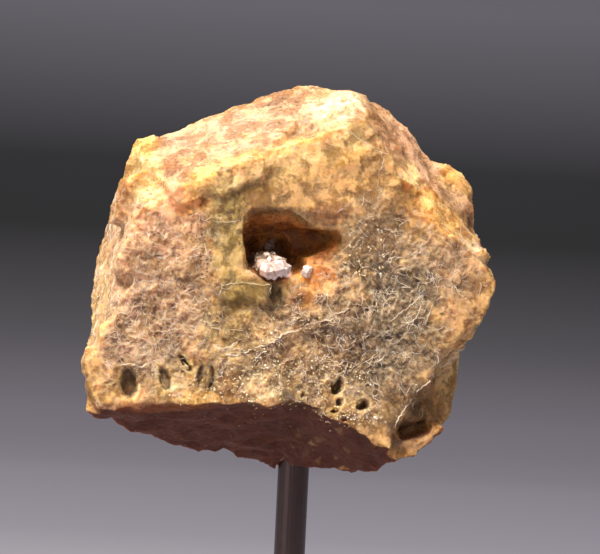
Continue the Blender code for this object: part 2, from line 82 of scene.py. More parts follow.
# Noise of the surface: patches per millimetre, shift and octaves
FIELDS = {
    "waves": (0.38, 3.0, 3), "clouds": (0.55, 9.0, 4), "veins": (1.15, 5.0, 3), "ledges": (0.5, 13.0, 4),
    "fine": (3.4, 1.0, 2), "tufts": (0.9, 21.0, 2), "crumple": (1.9, 17.0, 2),
}
# Noise of the matted ridges: patches per millimetre, shift and weight
FELT_RIDGES = ((0.9, 2.0, 0.7), (1.7, 6.0, 0.6), (3.2, 8.0, 0.5))
# Ledges for each unit of their noise, then heights and how far the surface settles, in millimetres
LEDGES_PER_NOISE = 3.2
STREAK_HEIGHT = 0.09
PIT_RIM_HEIGHT = 0.07
SETTLE = 0.04
# How many times the long edges are halved
HALVINGS = 4

# Forms of the front: x, z, half width, half height, tilt
HOLLOW = (0.4, 2.5, 4.9, 3.4, 0.0)
PLATE = (1.2, 7.2, 5.5, 3.0, 0.0)
STREAKED = (1.5, 6.8, 6.0, 2.6, 0.0)
COLUMN = (-4.8, 3.4, 1.5, 4.6, 0.0)

# Threads: the tube's sides, the spacing of its points and how far they stray, in millimetres
THREAD_SIDES = 5
THREAD_STEP = 0.15
THREAD_STRAY = 0.07
# Whiteness of the hollow's crust between its crystals, and the refractive index of clear grossular
CRUST_MILK = 0.62
GARNET_IOR = 1.74

# Kinds of node, the common ones with their settings
NOISE = "ShaderNodeTexNoise"
ATTRIBUTE = "ShaderNodeAttribute"
BUMP = "ShaderNodeBump"
RAMP = "ShaderNodeValToRGB"
MATH = "ShaderNodeMath"
PLUS, MINUS, TIMES, TIMES_PLUS = (
    (MATH, {"operation": way}) for way in ("ADD", "SUBTRACT", "MULTIPLY", "MULTIPLY_ADD"))
BLEND, DYE = (("ShaderNodeMix", {"data_type": "RGBA", "blend_type": way}) for way in ("MIX", "MULTIPLY"))
SPAN = ("ShaderNodeMapRange", {"interpolation_type": "SMOOTHSTEP"})
RANDOM = "FunctionNodeRandomValue"
VECTOR_MATH = "ShaderNodeVectorMath"

# Colours of the paper by metres along the floor and up the wall; the paper is grey, and the ramp paints shade
# darkening it up the wall and light again near the top
PAPER_TONES_AND_PAINTED_SHADE = (
    (0.265, "#77757F"), (0.39, "#74727B"), (0.508, "#64616A"), (0.60, "#47464B"), (0.70, "#28282A"),
    (0.76, "#29292C"), (0.888, "#5A5961"),
)

PALETTE = {
    "honey": "#BC8D54", "wheat": "#CFA062", "cream": "#F3D19A", "butter": "#E6B362",
    "moss_yellow": "#BFA04F", "olive": "#A78D4C", "olive_groove_shade": "#5E491D", "moss": "#856B44",
    "bark": "#5C472C", "ochre": "#B88440", "amber": "#B77316", "amber_brown_shade": "#805417",
    "orange": "#E08A00", "apricot": "#DD994D", "peach": "#E0A679", "rose": "#C98E72", "mauve": "#A6785F",
    "clay": "#A77855", "rust": "#A45A26", "violet": "#715A53", "umber": "#5A402B", "grey": "#8C7B69",
    # The underside's dark red-brown is darkened as painted shade, and the pit brown is painted shade inside
    # the pits
    "white": "#EFD4BA", "dark_red_and_shade": "#621E06", "cavity": "#B3661A", "stain": "#4A2C1B", "pit": "#7A5430",
    "tan": "#70471E", "taupe": "#57412F", "pearl_and_highlight": "#EFDCC6", "blush": "#D09C86", "felt": "#F3DDC2",
    "veil": "#EDD698", "honey_dark": "#9A6A30",
}

# Colour of the stone by place, as seen from the front, with a few patches of painted light and shade marked
# below: colour, x, z, half width, half height, tilt, strength
PATCHES = (
    ("rose", -11.6, 1.2, 4.7, 4.7, 0, 0.60), ("mauve", -10.8, -3.4, 4.8, 3.9, 0, 0.70),
    ("mauve", -13.3, -5.7, 2.5, 3.3, 0, 0.60), ("rose", -9.7, 4.0, 3.3, 2.3, 0, 0.60),
    ("peach", -10.8, 4.7, 2.8, 2.2, 0, 0.75), ("apricot", -7.9, 5.5, 1.7, 0.9, 20, 0.80),
    ("cream", -11.1, 7.6, 1.4, 2.2, 0, 0.95), ("butter", -11.2, 10.2, 1.0, 0.9, 0, 1.00),
    ("rose", -9.0, 7.4, 0.9, 2.6, 0, 0.70), ("butter", -6.7, 7.6, 1.6, 0.9, 20, 0.90),
    ("butter", -3.1, 9.0, 2.5, 0.7, 18, 0.85), ("butter", 0.8, 10.2, 2.6, 0.8, 18, 0.75),
    ("cream", 4.7, 10.7, 1.6, 1.0, 20, 0.95), ("blush", -4.7, 11.5, 4.8, 1.2, 17, 0.6),
    ("blush", 0.0, 12.7, 3.3, 1.1, 14, 0.65), ("blush", -7.8, 10.8, 2.0, 1.0, 15, 0.70),
    # The pearl patch at the apex is a pale crust, whitened further as a painted highlight where the light
    # falls hardest
    ("pearl_and_highlight", 3.7, 13.4, 2.3, 1.2, 8, 0.85), ("blush", 9.6, 9.4, 3.6, 1.3, -50, 0.85),
    ("mauve", 12.8, 5.5, 2.0, 0.9, -60, 0.75), ("butter", 12.9, 7.8, 1.2, 1.2, 0, 0.80),
    ("apricot", 10.5, 5.9, 1.3, 0.9, -45, 0.90), ("apricot", 12.6, 3.9, 1.9, 0.6, -45, 0.80),
    ("cream", 9.5, 7.8, 0.5, 1.2, 30, 0.70), ("white", 14.3, 2.1, 1.6, 0.4, -42, 0.80),
    ("wheat", 0.8, 7.1, 5.1, 2.2, 0, 0.75), ("butter", 2.5, 8.5, 3.9, 0.9, 16, 0.50),
    ("wheat", 7.6, 6.7, 1.9, 2.8, 0, 0.50), ("olive", -4.8, 4.7, 1.4, 4.0, 0, 0.85),
    ("moss_yellow", -3.3, -1.1, 2.1, 1.0, 0, 0.90), ("olive", -4.7, 1.6, 1.2, 2.5, 0, 0.80),
    ("moss_yellow", -4.2, -4.2, 2.8, 2.5, 0, 0.55), ("grey", -6.2, -7.9, 0.9, 1.2, 0, 0.60),
    # The darker amber-brown patches are painted shade on the sloping roof of the hollow and in the slot under
    # its overhang, over the stone's amber
    ("amber_brown_shade", 0.0, 4.3, 4.0, 0.9, 0, 0.85), ("amber", 3.7, 4.8, 1.9, 0.8, 0, 0.75),
    ("amber_brown_shade", 2.8, 1.9, 1.4, 1.2, 0, 0.70), ("orange", 2.4, -0.3, 1.2, 1.3, 0, 1.00),
    ("amber", 1.5, -2.0, 1.5, 1.0, 0, 0.90), ("amber", 0.8, -3.6, 1.6, 1.1, 0, 0.45),
    # The dark olive patch below the hollow is painted shade in the groove at the edge of the raised plate,
    # over an olive stone
    ("olive_groove_shade", -1.0, -1.6, 0.7, 1.1, 0, 0.90), ("moss", 5.9, 2.6, 2.3, 2.3, 0, 0.50),
    ("wheat", 9.3, 2.8, 2.8, 1.9, 0, 0.35), ("mauve", 12.4, 1.1, 2.6, 1.7, 0, 0.60),
    ("violet", 8.6, -0.9, 1.4, 1.1, 0, 0.80), ("umber", 10.8, -4.0, 1.7, 1.2, 0, 0.60),
    ("violet", 7.4, -7.9, 1.7, 1.6, 0, 0.65), ("moss", 4.3, -6.7, 2.6, 2.0, 0, 0.60),
    ("moss", 6.4, -4.5, 2.8, 1.7, 0, 0.50), ("bark", 8.8, -10.1, 1.9, 1.9, 0, 0.85),
    ("ochre", 11.7, -9.0, 0.9, 3.3, 0, 0.85), ("clay", 13.0, -1.9, 1.6, 2.3, 0, 0.60),
    ("clay", 9.4, -12.7, 1.9, 0.8, 0, 0.80), ("butter", -14.1, -8.6, 1.9, 1.4, 0, 0.60),
    ("cream", -9.1, -8.4, 1.4, 1.6, 0, 0.60), ("butter", -7.3, -9.3, 1.6, 0.7, 0, 0.85),
    ("amber", -4.2, -8.7, 1.2, 0.9, 0, 0.55), ("rust", -10.7, -10.2, 4.0, 0.4, 0, 0.80),
    ("cream", -0.9, -8.2, 2.8, 1.6, 0, 0.50), ("clay", 0.8, -5.9, 2.3, 1.9, 0, 0.35),
    ("butter", -14.8, -3.6, 0.7, 4.8, -6, 0.65), ("tan", 6.4, 2.6, 3.2, 2.6, 0, 0.75),
    ("taupe", 7.3, -6.4, 3.8, 3.2, 0, 0.80), ("honey_dark", 1.3, -5.4, 5.0, 3.2, 0, 0.75),
    ("tan", 4.2, -3.6, 2.8, 2.6, 0, 0.75), ("taupe", 9.0, -1.6, 3.0, 2.6, 0, 0.75),
    # The broad cream patch along the top of the front is painted light on its upper edge
    ("cream", -1.5, 8.3, 5.0, 1.3, 14, 0.60), ("orange", 1.7, 0.2, 1.1, 0.7, 20, 0.75),
    ("butter", 11.4, 5.0, 3.0, 1.0, -42, 0.60), ("cream", 12.6, -8.5, 0.9, 3.0, 0, 0.50),
    ("ochre", 8.8, -9.6, 2.2, 1.8, 0, 0.35),
)

# Speckled dark stains: x, z, half width, half height
STAINS = (
    (-7.5, 3.2, 1.1, 1.0), (-9.7, -4.6, 1.2, 1.0), (-7.8, -0.9, 0.9, 0.5), (-6.6, 0.6, 0.8, 1.4),
    (9.0, -1.4, 0.5, 0.4), (5.4, -5.9, 1.6, 0.9), (6.0, -2.4, 1.2, 0.8),
)

# Pits with sharp pale rims: x, z, half width, half height, tilt, depth
PITS = (
    (-12.4, -8.33, 0.62, 1.15, 4, 0.75), (-9.6, -8.0, 0.42, 0.95, 16, 0.3),
    (-8.0, -6.78, 0.21, 0.75, 36, 0.6), (3.76, -8.5, 0.42, 0.68, -14, 0.9),
    (5.7, -10.0, 0.36, 0.5, -62, 0.7), (3.9, -9.77, 0.25, 0.3, 0, 0.45), (1.06, -9.2, 0.15, 0.2, 0, 0.3),
    (-6.9, -7.8, 0.25, 0.9, -12, 0.2), (3.5, -10.5, 0.3, 0.12, 0, 0.3),
)

# Where the surface is matted with fine fibres: x, z, half width, half height, amount
MATTED = (
    (-11.5, -1.5, 5.5, 7.5, 1.0), (-8.5, 2.5, 3.0, 2.5, 0.8), (0.5, -6.5, 5.0, 4.5, 1.0),
    (6.5, -4.0, 5.5, 6.0, 1.0), (9.5, 0.5, 4.5, 3.0, 0.9), (-5.0, -5.5, 3.0, 3.0, 0.6),
    (6.5, 4.5, 2.5, 2.0, 0.6), (-2.5, -3.5, 2.0, 1.2, 0.8), (-3.0, 11.0, 6.0, 1.6, 0.35),
)

# Where small bright grains sit: x, z, half width, half height, amount
GRANULAR = (
    (-1.5, -8.0, 4.0, 2.0, 1.0), (3.0, -8.5, 3.0, 1.8, 0.5), (-1.0, -4.6, 2.5, 1.5, 0.3),
    (1.5, -2.6, 1.5, 1.5, 0.3), (-8.0, -8.6, 3.0, 1.2, 0.5), (6.0, 2.0, 2.0, 2.0, 0.35),
    (5.0, -10.5, 2.5, 1.2, 0.8),
)

# Clumps of small crystals at the hollow's mouth: x, z, half width, half height, crystals, size, whiteness
CLUMPS = (
    (-1.0, 0.35, 0.85, 0.45, 26, 0.55, 0.95), (-2.5, 0.75, 0.5, 0.5, 12, 0.4, 0.5),
    (-1.5, 2.1, 0.3, 0.65, 9, 0.4, 0.35), (1.3, 0.25, 0.4, 0.3, 9, 0.35, 0.95),
    (-2.9, 1.5, 0.3, 0.4, 5, 0.3, 0.4),
)

# Raised pale ridges and threads on the front, as points (x, z), then their radius
THREADS = (
    (((-5.0, -6.2), (-3.9, -6.1), (-2.9, -5.7), (-1.6, -5.3), (-0.4, -4.5), (0.7, -4.3), (1.6, -3.7),
      (3.3, -3.4), (3.9, -3.8)), 0.062),
    (((6.6, -6.9), (7.2, -6.4), (8.0, -5.6), (8.6, -5.0), (9.2, -4.3), (9.9, -3.0), (10.5, -1.7)), 0.043),
    (((7.7, -3.6), (8.6, -2.9), (9.6, -2.1), (10.6, -1.2)), 0.037),
    (((11.4, -7.4), (10.8, -8.2), (10.0, -8.9), (9.2, -9.9), (8.4, -11.2), (8.0, -12.0)), 0.056),
    (((14.8, -4.0), (14.0, -5.0), (13.2, -5.4), (12.6, -6.3), (11.6, -7.3)), 0.062),
    (((-5.5, -1.9), (-5.2, -0.7), (-4.4, -0.6), (-3.4, -0.5), (-2.2, -0.7), (-1.4, -0.6), (-1.5, -1.5)),
     0.043),
    (((-2.5, -2.4), (-1.8, -3.0), (-1.2, -3.6), (-0.8, -4.2)), 0.031),
    (((2.9, -2.2), (3.4, -3.0), (4.3, -2.7), (5.0, -2.3)), 0.050),
    (((-6.0, -5.2), (-5.4, -5.7), (-4.5, -5.5), (-3.8, -4.8)), 0.037),
    (((-13.4, -6.9), (-12.4, -6.8), (-11.5, -7.1), (-10.6, -6.6), (-9.6, -6.4)), 0.043),
    (((6.9, 10.0), (7.3, 9.0), (7.0, 8.0), (6.8, 7.0), (7.3, 6.3), (8.1, 5.6)), 0.031),
    (((-5.9, 4.3), (-4.9, 4.1), (-4.0, 4.3), (-3.5, 4.1)), 0.025),
    (((3.3, 12.4), (5.4, 10.6), (6.8, 9.7), (8.2, 9.2)), 0.031),
)


def linear(code):
    """Turn an sRGB hex value into linear red, green and blue."""
    values = [int(code[i:i + 2], 16) / 255.0 for i in (1, 3, 5)]
    return tuple(v / 12.92 if v <= 0.04045 else ((v + 0.055) / 1.055) ** 2.4 for v in values)


def to_world(point):
    """Point in metres from millimetres in the stone's axes."""
    return (TO_WORLD @ Vector(point) + STONE_CENTRE) * MM


def smooth(low, high, values):
    """Smooth step of an array."""
    t = np.clip((values - low) / (high - low), 0.0, 1.0)
    return t * t * (3.0 - 2.0 * t)


def soft_ellipse(x, z, cx, cz, rx, rz, tilt, warp, edge):
    """Mask of a tilted ellipse with a warped, soft rim."""
    a = math.radians(tilt)
    dx = x - cx
    dz = z - cz
    across = (dx * math.cos(a) + dz * math.sin(a)) / rx
    along = (dz * math.cos(a) - dx * math.sin(a)) / rz
    reach = np.sqrt(across ** 2 + along ** 2) + warp
    return 1.0 - smooth(1.0 - edge, 1.0 + edge, reach)


def field(points, scale, shift, octaves):
    """Fractal noise at many points, about -1 to 1."""
    move = Vector((shift, shift * 1.7, shift * 0.6))
    return np.array([noise.fractal(Vector(p) * scale + move, 0.8, 2.0, octaves) for p in points])


def ridges(points, scale, shift):
    """Thin raised lines where a noise crosses nought, 0 to 1."""
    move = Vector((shift, shift * 0.3, shift * 1.9))
    base = np.array([noise.noise(Vector(p) * scale + move) for p in points])
    return np.clip(1.0 - np.abs(base) * 9.0, 0.0, 1.0)


def node(tree, kind, settings=None, links=None, stops=()):
    """Add a node with its settings, its inputs' values or links, and a ramp's stops of (place, colour)."""
    made = tree.nodes.new(kind)
    for key, value in (settings or {}).items():
        setattr(made, key, value)
    for key, value in (links.items() if isinstance(links, dict) else enumerate(links or ())):
        entry = made.inputs[key]
        if isinstance(value, bpy.types.NodeSocket):
            tree.links.new(value, entry)
        else:
            entry.default_value = (*value, 1.0) if entry.type == "RGBA" else value
    if stops:
        steps = made.color_ramp.elements
        while len(steps) < len(stops):
            steps.new(0.5)
        for step, (place, colour) in zip(steps, stops):
            step.position = place
            step.color = (*colour, 1.0)
    return made


def new_material(name):
    """Material with an empty tree; with it the maker of its nodes and the socket of its coordinates."""
    made = bpy.data.materials.new(name)
    made.use_nodes = True
    made.node_tree.nodes.clear()
    make = partial(node, made.node_tree)
    return made, make, make("ShaderNodeTexCoord").outputs["Object"]


def put_shader(make, inputs, scatter=None):
    """Add the shader with its inputs and its scattering of (weight, radius, scale), and the output."""
    if scatter:
        inputs.update(zip(("Subsurface Weight", "Subsurface Radius", "Subsurface Scale"), scatter))
    shader = make("ShaderNodeBsdfPrincipled", {}, inputs)
    make("ShaderNodeOutputMaterial", {}, {"Surface": shader.outputs["BSDF"]})


def garnet_material(settings):
    """Massive grossular, grown and broken: waxy, a little see-through, matted with a pale felt of fibres."""
    made, make, place = new_material("grossular_garnet_natural_waxy")
    tint, masks = (make(ATTRIBUTE, {"attribute_name": name}).outputs["Color"] for name in ("tint", "masks"))
    split = make("ShaderNodeSeparateColor", {}, {"Color": masks})
    matted, stained, below = (split.outputs[name] for name in ("Red", "Green", "Blue"))

    # A clear saturated body under a pale veil in patches of 2 mm, 1 mm and 0.2 mm; the hue drifts too
    drift, cloud, grain = (
        make(NOISE, {}, {"Vector": place, "Scale": scale, "Detail": detail, "Roughness": rough,
                         "Distortion": twist})
        .outputs["Fac"] for scale, detail, rough, twist in
        ((430.0, 4.0, 0.55, 0.6), (1000.0, 6.0, 0.62, 0.8), (4200.0, 3.0, 0.6, 0.0)))
    greenish = make(*SPAN, (drift, 0.36, 0.5, 0.4, 0.0)).outputs[0]
    tint = make(*DYE, {0: greenish, 6: tint, 7: (0.86, 0.8, 0.5)}).outputs[2]
    body = make(*DYE, {0: 1.0, 6: tint, 7: (0.62, 0.55, 0.34)}).outputs[2]
    pale = make(*BLEND, {0: 0.17, 6: tint, 7: linear(PALETTE["veil"])}).outputs[2]
    pale = make(*DYE, {0: 1.0, 6: pale, 7: (1.3, 1.22, 1.12)}).outputs[2]
    both = make(*TIMES, (drift, 1.3)).outputs[0]
    both = make(*TIMES_PLUS, (cloud, 1.2, both)).outputs[0]
    both = make(*TIMES_PLUS, (grain, 0.5, both)).outputs[0]

    # The veil is thinner on dark places, and the underside has none, which keeps the painted shade of the
    # underside dark
    bright = make("ShaderNodeRGBToBW", {}, (tint,)).outputs[0]
    above = make(*MINUS, (1.0, below)).outputs[0]
    light = make(*TIMES, (make(*SPAN, (bright, 0.08, 0.3, 0.45, 1.0)).outputs[0], above)).outputs[0]
    veil = make(*TIMES, (make(*SPAN, (both, 1.36, 1.7, 0.0, 1.0)).outputs[0], light)).outputs[0]
    colour = make(*BLEND, {0: veil, 6: body, 7: pale}).outputs[2]
    gap = make(RAMP, {}, (cloud,), ((0.3, (0.5, 0.4, 0.28)), (0.42, (1.0, 1.0, 1.0)))).outputs[0]
    colour = make(*DYE, {0: 0.85, 6: colour, 7: gap}).outputs[2]

    # Felt: thin pale lines of three widths, up to about 0.15 mm
    felt = None
    for scale, width, twist in ((1100.0, 0.022, 2.2), (2000.0, 0.030, 1.8), (3600.0, 0.036, 1.2)):
        lines = make(NOISE, {}, {"Vector": place, "Scale": scale, "Detail": 2.0, "Distortion": twist})
        off = make(*MINUS, (lines.outputs["Fac"], 0.5)).outputs[0]
        off = make(MATH, {"operation": "ABSOLUTE"}, (off,)).outputs[0]
        line = make(*SPAN, (off, 0.0, width, 1.0, 0.0)).outputs[0]
        felt = make(MATH, {"operation": "MAXIMUM"}, (felt, line)).outputs[0] if felt else line
    felt = make(*TIMES, (felt, make(*SPAN, (cloud, 0.35, 0.6, 0.35, 1.0)).outputs[0])).outputs[0]
    shown = make(*TIMES, (felt, make(*TIMES_PLUS, (matted, 0.55, 0.12)).outputs[0])).outputs[0]
    shown = make(*TIMES, (shown, light)).outputs[0]
    colour = make(*BLEND, {0: shown, 6: colour, 7: linear(PALETTE["felt"])}).outputs[2]

    # Dark crumbs between the fibres of the stains
    crumbs = make("ShaderNodeTexVoronoi", {"feature": "F1"}, {"Vector": place, "Scale": 3600.0,
        "Randomness": 1.0})
    crumb = make(*SPAN, (crumbs.outputs["Distance"], 0.22, 0.42, 1.0, 0.0)).outputs[0]
    crumb = make(*TIMES, (make(*TIMES, (crumb, stained)).outputs[0], 0.85)).outputs[0]
    colour = make(*BLEND, {0: crumb, 6: colour, 7: linear(PALETTE["stain"])}).outputs[2]

    # Waxy where it is smooth, dry where it is matted and on the broken underside
    uneven = make(*SPAN, (grain, 0.3, 0.7, -0.06, 0.1)).outputs[0]
    rough = make(*PLUS, (make(*TIMES_PLUS, (matted, 0.14, 0.28)).outputs[0], uneven)).outputs[0]
    rough = make(*TIMES_PLUS, (below, 0.45, rough)).outputs[0]
    low = make(*TIMES_PLUS, (felt, 0.6, make(*TIMES, (grain, 0.7)).outputs[0])).outputs[0]
    bump = make(BUMP, {}, {"Strength": 0.8, "Distance": 0.00014, "Height": low}).outputs[0]
    bump = make(BUMP, {}, {"Strength": 0.6, "Distance": 0.0003, "Height": cloud, "Normal": bump}).outputs[0]
    put_shader(make, {"Base Color": colour, "Roughness": rough, "Normal": bump, "IOR": 1.55},
               (settings.glow, (1.0, 0.55, 0.22), 0.0015))
    return made


def fibre_material():
    """Fine mineral fibres and dust caught in them: dry, pale, cream to pink."""
    made, make, place = new_material("pale_mineral_fibre")
    drift = make(NOISE, {}, {"Vector": place, "Scale": 700.0, "Detail": 4.0}).outputs["Fac"]
    tint = make(ATTRIBUTE, {"attribute_name": "tint"}).outputs["Color"]
    pale = make(*SPAN, (drift, 0.35, 0.6, 0.25, 0.9)).outputs[0]
    colour = make(*BLEND, {0: pale, 6: tint, 7: linear(PALETTE["felt"])}).outputs[2]
    rough = make(*SPAN, (drift, 0.3, 0.7, 0.45, 0.6)).outputs[0]
    put_shader(make, {"Base Color": colour, "Roughness": rough}, (0.3, (1.0, 0.7, 0.4), 0.0003))
    return made


def grain_material():
    """Tiny broken grains: glassy, so they glint."""
    made, make, place = new_material("garnet_grain_glassy")
    drift = make(NOISE, {}, {"Vector": place, "Scale": 1400.0, "Detail": 2.0}).outputs["Fac"]
    tones = (0.3, linear("#B08A50")), (0.5, linear("#D9BC8A")), (0.68, linear("#F2E4CC"))
    colour = make(RAMP, {}, (drift,), tones).outputs[0]
    rough = make(*SPAN, (drift, 0.3, 0.7, 0.3, 0.15)).outputs[0]
    put_shader(make, {"Base Color": colour, "Roughness": rough, "IOR": GARNET_IOR},
               (0.3, (1.0, 0.7, 0.4), 0.0003))
    return made


def small_crystal_material():
    """Small clear to milky garnet crystals: glassy faces over a pale pink body."""
    made, make, place = new_material("pale_garnet_crystal_milky")
    milk = make(ATTRIBUTE, {"attribute_name": "milk"}).outputs["Fac"]
    drift = make(NOISE, {}, {"Vector": place, "Scale": 1500.0, "Detail": 4.0,
                             "Roughness": 0.6}).outputs["Fac"]
    body = make(*PLUS, (milk, make(*SPAN, (drift, 0.35, 0.65, -0.25, 0.25)).outputs[0])).outputs[0]
    tones = ((0.0, "#6B5238"), (0.4, "#A3917E"), (0.75, "#CFACA2"), (1.0, "#E6CCC4"))
    colour = make(RAMP, {}, (body,), [(at, linear(code)) for at, code in tones]).outputs[0]
    rough = make(*SPAN, (drift, 0.3, 0.7, 0.18, 0.34)).outputs[0]
    bump = make(BUMP, {}, {"Strength": 0.35, "Distance": 0.0001, "Height": drift}).outputs[0]
    put_shader(make, {"Base Color": colour, "Roughness": rough, "Normal": bump, "IOR": GARNET_IOR},
               (0.45, (1.0, 0.75, 0.65), 0.0005))
    return made


def stand_material(name, colour, roughness):
    """Turned brass under dark brown lacquer: satin, with faint turning marks and a little dust."""
    made, make, place = new_material(name)
    height = make("ShaderNodeSeparateXYZ", {}, {"Vector": place}).outputs["Z"]
    flat = make("ShaderNodeCombineXYZ", {}, {"Z": height}).outputs[0]
    turning = make(NOISE, {}, {"Vector": flat, "Scale": 3000.0, "Detail": 2.0}).outputs["Fac"]
    dust = make(NOISE, {}, {"Vector": place, "Scale": 260.0, "Detail": 6.0, "Roughness": 0.65}).outputs["Fac"]
    dusty = make(*SPAN, (dust, 0.42, 0.72, 0.0, 0.22)).outputs[0]
    tone = make(*BLEND, {0: dusty, 6: linear(colour), 7: linear("#5E4A46")}).outputs[2]
    rough = make(*SPAN, (turning, 0.3, 0.7, roughness - 0.05, roughness + 0.05)).outputs[0]
    rough = make(*PLUS, (rough, make(*TIMES, (dusty, 0.6)).outputs[0])).outputs[0]
    bump = make(BUMP, {}, {"Strength": 0.15, "Distance": 0.00005, "Height": turning}).outputs[0]
    put_shader(make, {"Base Color": tone, "Roughness": rough, "Normal": bump, "Metallic": 0.35,
                      "Coat Weight": 0.4, "Coat Roughness": 0.25})
    return made


def stage_material(settings):
    """Matt grey paper, as in a small photo tent, with painted light and shade: pale on the floor, darker up
    the wall and lighter again near the top.
    """
    made, make, place = new_material("studio_paper")
    parts = make("ShaderNodeSeparateXYZ", {}, {"Vector": place})
    along = make(*PLUS, (parts.outputs["Y"], parts.outputs["Z"])).outputs[0]
    tones = [(at, linear(code)) for at, code in PAPER_TONES_AND_PAINTED_SHADE]
    tone = make(RAMP, {}, (along,), [(0.0, tuple(settings.floor))] + tones).outputs[0]
    put_shader(make, {"Base Color": tone, "Roughness": 0.9, "Specular IOR Level": 0.1})
    return made


def object_from(name, bm):
    """Object of a mesh built in bm, linked to the scene; bm is freed."""
    mesh = bpy.data.meshes.new(name)
    bm.to_mesh(mesh)
    bm.free()
    obj = bpy.data.objects.new(name, mesh)
    bpy.context.scene.collection.objects.link(obj)
    return obj


def welded_copy(name, source):
    """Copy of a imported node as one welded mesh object."""
    bm = bmesh.new()
    bm.from_mesh(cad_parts[source].data)
    bmesh.ops.remove_doubles(bm, verts=bm.verts, dist=1e-6)
    return object_from(name, bm)


def finish_piece(obj, made, node_name, name):
    """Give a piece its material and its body."""
    obj.name = name
    obj.data.name = name
    obj.data.materials.clear()
    obj.data.materials.append(made)
    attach(obj, "root")
    if node_name:
        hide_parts(node_name)


def read_vectors(mesh, key):
    """Places ("co") or normals ("normal") of a mesh's vertices as an array."""
    values = np.empty(len(mesh.vertices) * 3)
    mesh.vertices.foreach_get(key, values)
    return values.reshape(-1, 3)


def put_places(mesh, world):
    """Write places in metres into a mesh, kept inside the solid's box."""
    low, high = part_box("garnet_crystal")
    mesh.vertices.foreach_set("co", np.clip(world, np.array(low), np.array(high)).ravel())
    mesh.update()


def seen_from_front(surface, x, z):
    """What a surface's tree says of its first point behind (x, z), as the camera sees it."""
    eye = to_world((0.0, -VIEW_DISTANCE, 0.0))
    return surface.ray_cast(eye, (to_world((x, 0.0, z)) - eye).normalized())


def amount(x, z, table, warp):
    """Largest of several soft ellipses of (x, z, half width, half height, amount)."""
    total = np.zeros_like(x)
    for cx, cz, rx, rz, much in table:
        total = np.maximum(total, much * soft_ellipse(x, z, cx, cz, rx, rz, 0.0, warp, 0.3))
    return total


def paint(colours, colour, mask):
    """Bring colours towards a colour, or towards a named one, as far as the mask says."""
    if isinstance(colour, str):
        colour = np.array(linear(PALETTE[colour]))
    colours += (colour - colours) * mask[:, None]


def write_colours(mesh, name, colours):
    """Store a colour for each vertex."""
    layer = mesh.color_attributes.new(name, "FLOAT_COLOR", "POINT")
    full = np.ones((len(colours), 4))
    full[:, :3] = colours
    layer.data.foreach_set("color", full.ravel())


# What the small lengths of the panel share
LENGTH = {"min": 0.000005, "precision": 6, "unit": "LENGTH"}


class StoneSettings(bpy.types.PropertyGroup):
    """Fineness, relief and glow of the stone."""

    fine: FloatProperty(
        name="Fine edge", description="Longest edge on the faces seen from the front", default=0.00024,
        **LENGTH)
    coarse: FloatProperty(
        name="Coarse edge", description="Longest edge on the other faces", default=0.0005,
        **LENGTH)
    wave: FloatProperty(
        name="Waves", description="Height of the broad waves, in millimetres", default=0.10, min=0.0)
    step: FloatProperty(
        name="Steps", description="Height of the small ledges, in millimetres", default=0.16, min=0.0)
    felt: FloatProperty(
        name="Felt", description="Height of the matted ridges, in millimetres", default=0.09, min=0.0)
    grain: FloatProperty(
        name="Grain", description="Height of the fine grain, in millimetres", default=0.05, min=0.0)
    crumple: FloatProperty(
        name="Crumple", description="Height of the half-millimetre hollows, in millimetres", default=0.1,
        min=0.0)
    glow: FloatProperty(
        name="Glow", description="Share of light that goes through the surface", default=0.7, min=0.0,
        max=1.0)


class FibreSettings(bpy.types.PropertyGroup):
    """Fibres and grains strewn over the stone."""

    count: FloatProperty(
        name="Fibres per square mm", description="Density where the surface is fully matted", default=9.5,
        min=0.0)
    length: FloatProperty(
        name="Length", description="Length of a middling fibre", default=0.0007,
        **LENGTH)
    radius: FloatProperty(
        name="Radius", description="Radius of a fibre", default=0.000022,
        **LENGTH)
    seed: IntProperty(name="Seed", description="Chance number for the fibres' places", default=4)
    grains: FloatProperty(
        name="Grains per square mm", description="Density where the surface is fully granular",
        default=11.0, min=0.0)
    grain_size: FloatProperty(
        name="Grain size", description="Width of a middling grain", default=0.00016,
        **LENGTH)


class HollowSettings(bpy.types.PropertyGroup):
    """Small crystals on the hollow's floor."""

    count: IntProperty(name="Crystals", description="How many small crystals stand on the floor", default=110,
                       min=1)
    seed: IntProperty(name="Seed", description="Chance number for the crystals", default=7)


class StandSettings(bpy.types.PropertyGroup):
    """Finish of the rod and the base."""

    roughness: FloatProperty(
        name="Roughness", description="Roughness of the lacquer", default=0.38, min=0.0, max=1.0)


class StageSettings(bpy.types.PropertyGroup):
    """Floor, wall, light and camera."""

    floor: FloatVectorProperty(
        name="Floor", description="Colour of the paper on the floor", subtype="COLOR",
        default=linear("#A19EA8"))
    key: FloatProperty(
        name="Key light", description="Power of the main light", default=7.1, min=0.0, unit="POWER")
    fill: FloatProperty(
        name="Fill light", description="Power of the fill light", default=1.0, min=0.0, unit="POWER")
    wall: FloatProperty(
        name="Wall light", description="Power of the light on the paper", default=4.0, min=0.0, unit="POWER")


